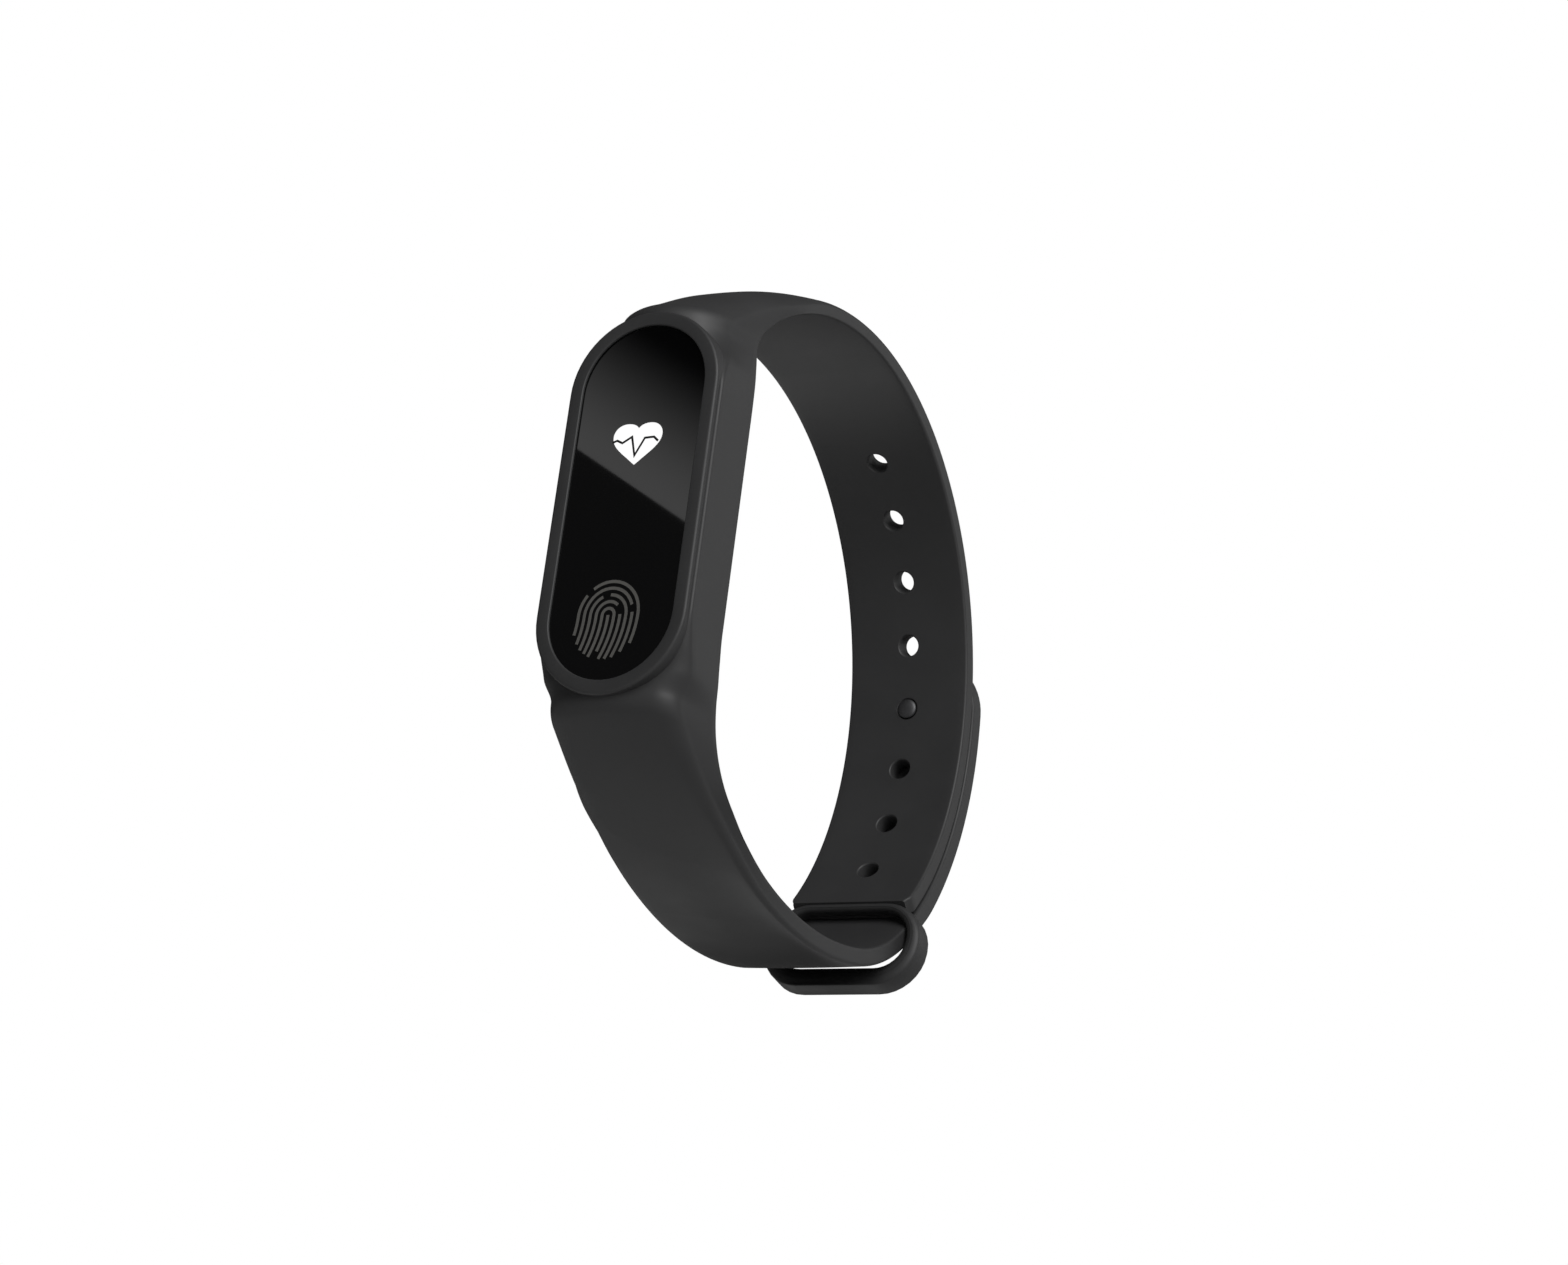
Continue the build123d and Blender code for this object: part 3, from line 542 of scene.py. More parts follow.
# ---------------------------------------------------------------- finishes
class Graph:
    """The nodes of one material, with its shader ready."""

    def __init__(self, name: str) -> None:
        """Starts a material with one Principled shader."""
        self.material = bpy.data.materials.new(name)
        self.material.use_nodes = True
        self.tree = self.material.node_tree
        self.shader = self.tree.nodes["Principled BSDF"]
        self.place = self.tree.nodes.new("ShaderNodeTexCoord").outputs["Object"]

    def add(self, kind: str, **settings: object) -> bpy.types.Node:
        """Adds a node and sets the properties that are named."""
        node = self.tree.nodes.new(kind)
        for key, value in settings.items():
            setattr(node, key, value)
        return node

    def link(self, source: bpy.types.NodeSocket, target: bpy.types.NodeSocket) -> None:
        """Joins two sockets."""
        self.tree.links.new(source, target)

    def noise(self, size: float, detail: float = 3.0) -> bpy.types.NodeSocket:
        """A noise pattern whose features are about size metres across."""
        node = self.add("ShaderNodeTexNoise")
        node.inputs["Scale"].default_value = 1 / size
        node.inputs["Detail"].default_value = detail
        self.link(self.place, node.inputs["Vector"])
        return node.outputs["Fac"]

    def stretched(self, size: float, stretch: tuple[float, float, float]) -> bpy.types.NodeSocket:
        """A noise pattern that is drawn out along some axes, such as a brushed grain."""
        mapping = self.add("ShaderNodeMapping")
        mapping.inputs["Scale"].default_value = stretch
        self.link(self.place, mapping.inputs["Vector"])
        node = self.add("ShaderNodeTexNoise")
        node.inputs["Scale"].default_value = 1 / size
        self.link(mapping.outputs["Vector"], node.inputs["Vector"])
        return node.outputs["Fac"]

    def ranged(self, source: bpy.types.NodeSocket, low: float, high: float) -> bpy.types.NodeSocket:
        """Maps a pattern's middle range to low and high."""
        node = self.add("ShaderNodeMapRange")
        node.inputs["From Min"].default_value = 0.3
        node.inputs["From Max"].default_value = 0.7
        node.inputs["To Min"].default_value = low
        node.inputs["To Max"].default_value = high
        self.link(source, node.inputs["Value"])
        return node.outputs["Result"]

    def colours(
        self, source: bpy.types.NodeSocket, low: tuple[float, ...], high: tuple[float, ...]
    ) -> bpy.types.NodeSocket:
        """Maps a pattern to a ramp between two colours."""
        node = self.add("ShaderNodeValToRGB")
        node.color_ramp.elements[0].position = 0.3
        node.color_ramp.elements[1].position = 0.7
        node.color_ramp.elements[0].color = (*low, 1)
        node.color_ramp.elements[1].color = (*high, 1)
        self.link(source, node.inputs["Fac"])
        return node.outputs["Color"]

    def bump(self, height: bpy.types.NodeSocket, depth: float, strength: float = 1.0) -> None:
        """Gives the shader a bump of that depth in metres."""
        node = self.add("ShaderNodeBump")
        node.inputs["Distance"].default_value = depth
        node.inputs["Strength"].default_value = strength
        self.link(height, node.inputs["Height"])
        self.link(node.outputs["Normal"], self.shader.inputs["Normal"])

    def set(self, **sockets: float) -> None:
        """Sets the shader's own sockets; an underscore stands for a space."""
        for key, value in sockets.items():
            self.shader.inputs[key.replace("_", " ")].default_value = value


def shaded(colour: tuple[float, float, float], factor: float) -> tuple[float, ...]:
    """A colour made lighter or darker."""
    return tuple(min(1.0, c * factor) for c in colour)


@dataclass(frozen=True)
class Moulded:
    """Moulded plastic or silicone: a fine even grain with slow changes in sheen."""

    name: str
    colour: tuple[float, float, float]
    rough: float = 0.5
    grain: float = 0.16 * MM
    relief: float = 0.002 * MM
    specular: float = 0.5

    def make(self) -> bpy.types.Material:
        """Builds the material."""
        graph = Graph(self.name)
        graph.set(Specular_IOR_Level=self.specular)
        slow = graph.noise(9 * MM)
        graph.link(
            graph.colours(slow, shaded(self.colour, 0.92), shaded(self.colour, 1.08)),
            graph.shader.inputs["Base Color"],
        )
        graph.link(graph.ranged(slow, self.rough - 0.03, self.rough + 0.03), graph.shader.inputs["Roughness"])
        graph.bump(graph.noise(self.grain, 2.0), self.relief)
        return graph.material


@dataclass(frozen=True)
class Polished:
    """Polished plastic or glass, with the faintest unevenness in its gloss."""

    name: str
    colour: tuple[float, float, float]
    rough: float = 0.02
    specular: float = 0.5
    see_through: float = 0.0

    def make(self) -> bpy.types.Material:
        """Builds the material."""
        graph = Graph(self.name)
        graph.set(Specular_IOR_Level=self.specular, Transmission_Weight=self.see_through, IOR=1.5)
        slow = graph.noise(5 * MM)
        graph.link(
            graph.colours(slow, shaded(self.colour, 0.95), shaded(self.colour, 1.05)),
            graph.shader.inputs["Base Color"],
        )
        graph.link(graph.ranged(slow, self.rough, self.rough * 1.6), graph.shader.inputs["Roughness"])
        return graph.material


@dataclass(frozen=True)
class Metal:
    """Bare or plated metal with a grain drawn along one axis."""

    name: str
    colour: tuple[float, float, float]
    rough: float = 0.3
    draw: tuple[float, float, float] = (0.1, 1.0, 1.0)

    def make(self) -> bpy.types.Material:
        """Builds the material."""
        graph = Graph(self.name)
        graph.set(Metallic=1.0)
        grain = graph.stretched(0.12 * MM, self.draw)
        graph.link(
            graph.colours(grain, shaded(self.colour, 0.85), self.colour), graph.shader.inputs["Base Color"]
        )
        graph.link(graph.ranged(grain, self.rough, self.rough + 0.12), graph.shader.inputs["Roughness"])
        graph.bump(grain, 0.003 * MM)
        return graph.material


@dataclass(frozen=True)
class Wired:
    """A board or film with conductors under its coat."""

    name: str
    colour: tuple[float, float, float]
    line: tuple[float, float, float]
    pitch: float = 0.9 * MM

    def make(self) -> bpy.types.Material:
        """Builds the material."""
        graph = Graph(self.name)
        turn = graph.add("ShaderNodeMapping")
        turn.inputs["Rotation"].default_value = (math.pi / 2, 0, 0)
        graph.link(graph.place, turn.inputs["Vector"])
        bricks = graph.add("ShaderNodeTexBrick")
        bricks.inputs["Scale"].default_value = 1 / self.pitch
        bricks.inputs["Mortar Size"].default_value = 0.06
        bricks.inputs["Color1"].default_value = (*self.colour, 1)
        bricks.inputs["Color2"].default_value = (*shaded(self.colour, 0.8), 1)
        bricks.inputs["Mortar"].default_value = (*self.line, 1)
        graph.link(turn.outputs["Vector"], bricks.inputs["Vector"])
        graph.link(bricks.outputs["Color"], graph.shader.inputs["Base Color"])
        graph.set(Roughness=0.35)
        graph.bump(bricks.outputs["Fac"], 0.01 * MM)
        return graph.material


@dataclass(frozen=True)
class Lit:
    """A part of the display that is switched on, as a fine grid of points of light."""

    name: str
    colour: tuple[float, float, float]
    strength: float = 1.0
    pitch: float = 0.1 * MM

    def make(self) -> bpy.types.Material:
        """Builds the material."""
        graph = Graph(self.name)
        turn = graph.add("ShaderNodeMapping")
        turn.inputs["Rotation"].default_value = (math.pi / 2, 0, 0)
        graph.link(graph.place, turn.inputs["Vector"])
        points = graph.add("ShaderNodeTexBrick", offset=0.0)
        points.inputs["Scale"].default_value = 1 / self.pitch
        points.inputs["Mortar Size"].default_value = 0.08
        points.inputs["Brick Width"].default_value = 1.0
        points.inputs["Row Height"].default_value = 1.0
        points.inputs["Color1"].default_value = (*self.colour, 1)
        points.inputs["Color2"].default_value = (*self.colour, 1)
        points.inputs["Mortar"].default_value = (*shaded(self.colour, 0.85), 1)
        graph.link(turn.outputs["Vector"], points.inputs["Vector"])
        graph.link(points.outputs["Color"], graph.shader.inputs["Emission Color"])
        graph.set(Emission_Strength=self.strength, Roughness=0.1)
        graph.shader.inputs["Base Color"].default_value = (0.02, 0.02, 0.02, 1)
        return graph.material


SILICONE = Moulded("black_silicone", (0.022, 0.022, 0.0225), rough=0.55, specular=0.35)
CASE_PLASTIC = Moulded("case_plastic", (0.016, 0.016, 0.017), rough=0.38, grain=0.1 * MM)
LENS_GLOSS = Polished("lens_gloss", (0.0004, 0.0004, 0.0005), rough=0.015)
INK = Moulded("key_ink", (0.075, 0.073, 0.068), rough=0.35, relief=0.001 * MM)
HEART_LIGHT = Lit("display_light", (1.0, 1.0, 1.0))
SLOT_FINISHES = {
    "silicone": SILICONE,
    "case": CASE_PLASTIC,
    "lens": LENS_GLOSS,
    "mask": Moulded("mask_print", (0.004, 0.004, 0.004), rough=0.4),
    "display": Polished("display_glass", (0.01, 0.01, 0.016), rough=0.05),
    "tape": Moulded("tape", (0.72, 0.70, 0.64), rough=0.6, grain=0.3 * MM, relief=0.01 * MM),
    "holder": Moulded("white_moulding", (0.78, 0.78, 0.75), rough=0.45),
    "flex": Wired("amber_film", (0.55, 0.24, 0.03), (0.75, 0.42, 0.12), pitch=0.5 * MM),
    "board": Wired("green_board", (0.012, 0.11, 0.045), (0.03, 0.2, 0.08)),
    "chip": Moulded("chip_epoxy", (0.02, 0.02, 0.022), rough=0.55, grain=0.08 * MM),
    "ceramic": Moulded("ceramic", (0.8, 0.79, 0.75), rough=0.4, grain=0.1 * MM),
    "copper": Metal("copper_wire", (0.78, 0.36, 0.2), rough=0.3, draw=(1.0, 0.1, 0.1)),
    "gold": Metal("gold_plate", (0.9, 0.66, 0.28), rough=0.22, draw=(1.0, 1.0, 1.0)),
    "steel": Metal("drawn_steel", (0.6, 0.6, 0.62), rough=0.28),
    "stud": Metal("black_anodised", (0.09, 0.09, 0.093), rough=0.5, draw=(1.0, 1.0, 1.0)),
    "weight": Metal("sintered_weight", (0.42, 0.42, 0.44), rough=0.5, draw=(1.0, 1.0, 1.0)),
    "pouch": Metal("foil_pouch", (0.72, 0.73, 0.75), rough=0.35, draw=(1.0, 1.0, 0.2)),
    "window": Polished("smoked_window", (0.03, 0.03, 0.034), rough=0.03, see_through=0.4),
    "led": Polished("led_epoxy", (0.25, 0.8, 0.3), rough=0.1, see_through=0.3),
}


class Paintbox:
    """Makes each finish's material once and puts it on pieces."""

    def __init__(self) -> None:
        """Starts with nothing made."""
        self.made: dict[str, bpy.types.Material] = {}

    def material(self, finish: Moulded | Polished | Metal | Wired | Lit) -> bpy.types.Material:
        """The finish's material, built the first time it is asked for."""
        if finish.name not in self.made:
            self.made[finish.name] = finish.make()
        return self.made[finish.name]

    def dress(self, obj: bpy.types.Object, finish: Moulded | Polished | Metal | Wired | Lit) -> None:
        """Gives all of an object the finish."""
        slots = obj.data.materials
        slots.clear()
        slots.append(self.material(finish))

    def dress_node(self, node: str) -> None:
        """Gives a CAD node that stays the finish of its slot in the record."""
        slot = next(s["material_slot"] for s in frame["record"]["subparts"] if s["node"] == node)
        obj = frame["nodes"][node]
        for i in range(max(1, len(obj.material_slots))):
            if not obj.material_slots:
                obj.data.materials.append(None)
            obj.material_slots[i].material = self.material(SLOT_FINISHES[slot])


# ---------------------------------------------------------------- wristband
@dataclass
class Wristband:
    """The moulded band: perforated arm with its ring, housing, and plain arm as far as the ring."""

    front_depth: float = 0.35 * MM
    skin_depth: float = 9.0 * MM
    half_width: float = 9.1 * MM
    back_half: float = 8.45 * MM
    end_reach: float = 22.2 * MM
    shoulder_depth: float = 20.0 * MM
    low_shoulder_depth: float = 18.0 * MM
    corner_reach: float = 1.3 * MM
    skin_top_r: float = 5.0 * MM
    skin_bottom_r: float = 11.0 * MM
    full_to: float = 12.2 * MM
    eased_at: float = 15.6 * MM
    bevelled_at: float = 18.4 * MM
    ring_angle: float = math.radians(-43.5)
    ring_lean: float = math.radians(9.8)
    seam: float = 0.9
    hole_r: float = 1.22 * MM
    hole_mouth: float = 0.12 * MM
    holes: int = 8
    pocket_gap: float = 0.1 * MM
    pocket_depth: float = 8.2 * MM
    window_half: float = 5.4 * MM
    strap: Section = Section(7.5 * MM, 7.5 * MM, 0.1 * MM, 0.4 * MM, 0.3 * MM)

    def arm_angle(self) -> float:
        """Angle about the loop at which the top shoulder starts."""
        y = LENS_Y + self.shoulder_depth - LOOP.centre.x
        return math.acos(y / LOOP.outer_r)

    def turn_centre(self) -> Vector:
        """Centre of the bend between the plain arm and the tail."""
        return circles_meet(
            LOOP.centre,
            LOOP.tail_inner_r - LOOP.turn_r,
            LOOP.plain_centre,
            LOOP.plain_inner_r - LOOP.turn_r,
        )

    def plain_parts(self, offset: float, start: Vector) -> list[Part]:
        """Plain arm, bend and the start of the tail, at an offset outside the skin line."""
        centre = self.turn_centre()
        turn_r = LOOP.turn_r + offset
        turn_start = centre + (centre - LOOP.plain_centre).normalized() * turn_r
        turn_end = centre + (centre - LOOP.centre).normalized() * turn_r
        return [
            arc_between(LOOP.plain_centre, LOOP.plain_inner_r + offset, start, turn_start),
            arc_between(centre, turn_r, turn_start, turn_end),
        ]

    def outer_line(self) -> list[Part]:
        """The band's outer line, from the ring over the top and down the front to the bend."""
        front = LENS_Y + self.front_depth
        top, bottom = (Vector((front, LENS_Z + side * self.end_reach)) for side in (1, -1))
        arm = Arc(LOOP.centre, LOOP.outer_r, self.ring_angle, self.arm_angle())
        start = arm.at(1.0)
        heading = Vector((-math.sin(arm.end), math.cos(arm.end)))
        shoulder = tangent_arc(start, heading, top)
        plain_r = LOOP.plain_inner_r + LOOP.thickness
        low_y = LENS_Y + self.low_shoulder_depth
        away = low_y - LOOP.plain_centre.x
        low = Vector((low_y, LOOP.plain_centre.y - math.sqrt(plain_r**2 - away**2)))
        back = Vector((low.y - LOOP.plain_centre.y, LOOP.plain_centre.x - low.x))
        rising = tangent_arc_back(low, back, bottom)
        cut = self.corner_reach
        shoulder_cut, rising_cut = 1 - cut / shoulder.length(), cut / rising.length()
        return [
            arm,
            part_of(shoulder, 0, shoulder_cut),
            Bend(shoulder.at(shoulder_cut), top, top - Vector((0, cut))),
            Run(top - Vector((0, cut)), bottom + Vector((0, cut))),
            Bend(bottom + Vector((0, cut)), bottom, rising.at(rising_cut)),
            part_of(rising, rising_cut, 1),
            *self.plain_parts(LOOP.thickness, low),
        ]

    def skin_line(self) -> list[Part]:
        """The line on the wearer's skin, from the ring to the bend."""
        back = LENS_Y + self.skin_depth
        top = Vector((back + self.skin_top_r, 0))
        reach = LOOP.inner_r - self.skin_top_r
        top.y = LOOP.centre.y + math.sqrt(reach**2 - (top.x - LOOP.centre.x) ** 2)
        low = Vector((back + self.skin_bottom_r, 0))
        reach = LOOP.plain_inner_r - self.skin_bottom_r
        low.y = LOOP.plain_centre.y - math.sqrt(reach**2 - (low.x - LOOP.plain_centre.x) ** 2)
        top_angle = angle_of(top, LOOP.centre)
        low_angle = angle_of(low, LOOP.plain_centre)
        low_end = LOOP.plain_centre + LOOP.plain_inner_r * Vector((math.cos(low_angle), math.sin(low_angle)))
        return [
            Arc(LOOP.centre, LOOP.inner_r, self.ring_angle, top_angle),
            Arc(top, self.skin_top_r, top_angle, math.pi),
            Run(Vector((back, top.y)), Vector((back, low.y))),
            Arc(low, self.skin_bottom_r, math.pi, low_angle),
            *self.plain_parts(0.0, low_end),
        ]

    def knots(self, skin: list[Part], outer: list[Part]) -> list[Knot]:
        """Where the band's sections are set, from the ring to the seam inside the ring.

        Args:
            skin: The skin line's parts.
            outer: The outer line's parts.

        Returns:
            The knots, in order along the band.
        """
        full = Section(self.half_width, self.back_half, 0.0, 0.35 * MM, 0.9 * MM)
        top = Section(8.6 * MM, 8.4 * MM, 0.6 * MM, 1.2 * MM, 0.9 * MM)
        top_bevel = Section(7.4 * MM, 8.1 * MM, 2.4 * MM, 2.1 * MM, 0.8 * MM)
        top_end = Section(6.6 * MM, 7.8 * MM, 3.4 * MM, 2.5 * MM, 0.7 * MM, 0.5 * MM)
        top_slope = Section(6.9 * MM, 7.5 * MM, 3.0 * MM, 2.0 * MM, 0.5 * MM, 1.4 * MM)
        shoulder = Section(7.4 * MM, 7.5 * MM, 1.6 * MM, 0.9 * MM, 0.35 * MM, 1.0 * MM)
        crowned = Section(7.5 * MM, 7.5 * MM, 0.7 * MM, 0.6 * MM, 0.3 * MM, 0.3 * MM)
        low = Section(8.9 * MM, 8.6 * MM, 0.5 * MM, 1.0 * MM, 0.9 * MM)
        low_bevel = Section(8.65 * MM, 8.7 * MM, 1.3 * MM, 1.7 * MM, 0.8 * MM)
        low_end = Section(7.6 * MM, 8.7 * MM, 1.5 * MM, 2.1 * MM, 0.7 * MM)
        low_slope = Section(7.6 * MM, 8.6 * MM, 0.9 * MM, 1.7 * MM, 0.5 * MM)
        plain = Section(7.65 * MM, 8.2 * MM, 0.35 * MM, 1.05 * MM, 0.35 * MM)
        soft = Section(7.5 * MM, 7.8 * MM, 0.15 * MM, 0.7 * MM, 0.3 * MM)
        rounded = Section(7.0 * MM, 7.0 * MM, 0.1 * MM, 0.4 * MM, 0.3 * MM)
        front, back = outer[3], skin[2]

        def level(height: float, section: Section, steps: int) -> Knot:
            """A section on the housing's straight front, at a height from the lens's centre."""
            wanted = LENS_Z + height
            shares = [(line.start.y - wanted) / (line.start.y - line.end.y) for line in (front, back)]
            return Knot((3, shares[0]), (2, shares[1]), section, steps)

        arm_share = (self.arm_angle() - skin[0].start) / (skin[0].end - skin[0].start)
        low_skin = (outer[6].start - skin[4].start) / (skin[4].end - skin[4].start)
        return [
            Knot((0, 0.0), (0, 0.0), rounded, 4),
            Knot((0, 0.012), (0, 0.012 * arm_share), self.strap, 82),
            Knot((0, 0.64), (0, 0.64 * arm_share), self.strap, 26),
            Knot((0, 0.88), (0, 0.88 * arm_share), crowned, 14),
            Knot((1, 0.0), (0, arm_share), shoulder, 14),
            Knot((1, 0.5), (0, (1 + arm_share) / 2), top_slope, 14),
            Knot((2, 0.0), (1, 0.35), top_end, 10),
            Knot((3, 0.0), (1, 0.7), top_end, 8),
            level(self.bevelled_at, top_bevel, 6),
            level(self.eased_at, top, 6),
            level(self.full_to, full, 20),
            level(-self.full_to, full, 6),
            level(-self.eased_at, low, 6),
            level(-self.bevelled_at, low_bevel, 8),
            Knot((4, 0.0), (3, 0.2), low_end, 10),
            Knot((5, 0.0), (3, 0.4), low_end, 16),
            Knot((5, 0.5), (3, 0.9), low_slope, 16),
            Knot((6, 0.0), (4, max(low_skin, 0.02)), plain, 10),
            Knot((6, 0.25), (4, 0.25 + 0.75 * low_skin), soft, 26),
            Knot((7, 0.0), (5, 0.0), self.strap, 24),
            Knot((7, self.seam), (5, self.seam), self.strap, 1),
        ]

    def ring_plane(self) -> tuple[Vector, Vector, Vector]:
        """Where the ring's face starts, the way its hole runs, and the way down its face."""
        start = LOOP.at(LOOP.inner_r, self.ring_angle)
        across, down = math.sin(self.ring_lean), math.cos(self.ring_lean)
        return start, Vector((down, -across)), Vector((-across, -down))

    def ring_point(self, across: float, down: float, depth: float) -> Vector:
        """A point on the ring, from its place across and down its face and behind it."""
        start, axis, fall = self.ring_plane()
        place = start + axis * depth + fall * down
        return Vector((across, place.x, place.y))

    def build(self) -> bpy.types.Object:
        """Builds the band as one mesh.

        Returns:
            The band's object.
        """
        outer, skin = self.outer_line(), self.skin_line()
        band = finished(loft(strap_rings(outer, skin, self.knots(skin, outer))), "wristband_moulding")
        keeper = KeeperRing(self)
        carve(band, keeper.build(), "UNION")
        carve(band, keeper.passage())
        for half, run, low, high in (
            (CASE_HALF + self.pocket_gap, CASE_STRAIGHT, -2 * MM, self.pocket_depth),
            (self.window_half, BUMP_STRAIGHT, self.pocket_depth - MM, self.skin_depth + 2 * MM),
        ):
            rings = [stadium_ring(half, run, depth) for depth in (low, high)]
            carve(band, finished(loft(rings), "pocket_tool"))
        for angle in hole_angles(self.holes):
            carve(band, self.punch(angle))
        return band

    def punch(self, angle: float) -> bpy.types.Object:
        """The round tool that makes one strap hole, with a soft mouth at each end."""
        skin, out = LOOP.inner_r, LOOP.outer_r
        mouth = self.hole_mouth
        steps = [(skin - MM, self.hole_r + mouth + MM)]
        for i in range(5):
            turn = math.radians(90 * i / 4)
            steps.append((skin + mouth * math.sin(turn), self.hole_r + mouth * (1 - math.sin(turn) ** 0.5)))
        steps += [(out - mouth, self.hole_r), (out + MM, self.hole_r + mouth)]
        rings = [radial_ring(angle, distance, radius, 40) for distance, radius in steps]
        return finished(loft(rings), "punch_tool")


def part_of(arc: Arc, low: float, high: float) -> Arc:
    """The stretch of an arc between two shares of it."""
    span = arc.end - arc.start
    return Arc(arc.centre, arc.radius, arc.start + low * span, arc.start + high * span)


def tangent_arc_back(start: Vector, heading: Vector, end: Vector) -> Arc:
    """The arc from end to start that has a heading, seen from start, where it arrives."""
    side = Vector((heading.y, -heading.x)).normalized()
    chord = end - start
    radius = chord.length_squared / (2 * chord.dot(side))
    return arc_between(start + side * radius, radius, end, start)


def hole_angles(count: int) -> list[float]:
    """Angles of the strap holes about the loop, from the first one down."""
    first, second = (angle_of(in_plane(mount(f"strap_hole_{i}")["pos_m"]), LOOP.centre) for i in (1, 2))
    return [first - i * (first - second) for i in range(count)]


STUD_ANGLE = hole_angles(5)[-1]


def radial_ring(angle: float, distance: float, radius: float, segments: int) -> list[Vector]:
    """Points on a circle square to the loop's radius at an angle, at a distance from its centre."""
    out = Vector((0, math.cos(angle), math.sin(angle)))
    up = Vector((0, -math.sin(angle), math.cos(angle)))
    middle = Vector((0, *LOOP.centre)) + out * distance
    return [
        middle
        + radius * math.cos(math.tau * i / segments) * Vector((1, 0, 0))
        + radius * math.sin(math.tau * i / segments) * up
        for i in range(segments)
    ]


@dataclass
class KeeperRing:
    """The ring at the end of the perforated arm, which the tail passes through."""

    band: Wristband
    width: float = 19.2 * MM
    height: float = 10.15 * MM
    hole_width: float = 15.8 * MM
    hole_height: float = 7.05 * MM
    top: float = 1.0 * MM
    depth: float = 3.2 * MM
    corner_r: float = 4.9 * MM
    hole_corner_r: float = 3.3 * MM
    front_round: float = 0.6
    back_round: float = 0.35
    clearing: float = 1.6 * MM
    lead: float = 3.0 * MM

    def outline(self, width: float, height: float, low: float, radius: float) -> list[Vector]:
        """Points (across, down) of a rounded rectangle whose top side is at low."""
        points = []
        for sx, sz, start in ((1, 1, 0), (-1, 1, 90), (-1, -1, 180), (1, -1, 270)):
            centre = Vector((sx * (width / 2 - radius), low + height / 2 + sz * (height / 2 - radius)))
            points += corner(centre, radius, start, start + 90, 8)
        return points

    def build(self) -> bpy.types.Object:
        """Builds the ring with a soft rim."""
        inner = self.outline(self.hole_width, self.hole_height, self.top, self.hole_corner_r)
        outer = self.outline(self.width, self.height, 0.0, self.corner_r)
        rings = []
        wall = min(self.top, (self.width - self.hole_width) / 2)
        front, back = wall * self.front_round, wall * self.back_round
        for share, depth in rim_outline(wall, self.depth, front, back):
            rings.append([
                self.band.ring_point(*i.lerp(o, share), depth) for i, o in zip(inner, outer)
            ])
        return finished(loft(rings, closed=True), "ring_tool")

    def passage(self) -> bpy.types.Object:
        """The space under the ring's lip that the arm's end leaves clear."""
        inner = self.outline(self.hole_width, self.hole_height, self.top, self.hole_corner_r)
        upper = [p for p in inner if p.y < self.top + self.clearing]
        rings = [
            [self.band.ring_point(*p, depth) for p in upper]
            for depth in (-self.lead, self.depth / 2)
        ]
        return finished(loft(rings), "passage_tool")


def rim_outline(wall: float, depth: float, front: float, back: float) -> list[tuple[float, float]]:
    """Shares across a wall and depths behind its face, round a wall with soft corners."""
    points = [
        *corner(Vector((wall - back, depth - back)), back, 0, 90, 4),
        *corner(Vector((back, depth - back)), back, 90, 180, 4),
        *corner(Vector((front, front)), front, 180, 270, 6),
        *corner(Vector((wall - front, front)), front, 270, 360, 6),
    ]
    return [(p.x / wall, p.y) for p in points]


# ---------------------------------------------------------------- lip, tail and stud
@dataclass
class Lip:
    """The thin lip, moulded on the band, that laps over the lens's edge."""

    inner_half: float = 7.25 * MM
    outer_half: float = 8.82 * MM
    rise: float = 0.35 * MM
    clear: float = 0.05 * MM
    foot: float = 1.6 * MM
    lap: float = 0.72 * MM
    inner_round: float = 0.16 * MM
    outer_round: float = 0.35 * MM

    def build(self) -> bpy.types.Object:
        """Builds the lip as a soft-edged rim."""
        foot_half = self.inner_half + self.lap
        inner, outer = self.inner_round, self.outer_round
        outline = [
            *corner(Vector((self.outer_half - outer, self.rise - outer)), outer, 0, 90, 6),
            *corner(Vector((self.inner_half + inner, self.rise - inner)), inner, 90, 180, 4),
            Vector((self.inner_half, self.clear)),
            Vector((foot_half, self.clear)),
            Vector((foot_half, -self.foot)),
            Vector((self.outer_half, -self.foot)),
        ]
        rings = [stadium_ring(p.x, CASE_STRAIGHT, -p.y, 32) for p in outline]
        return finished(loft(rings, closed=True), "lens_lip", 50)


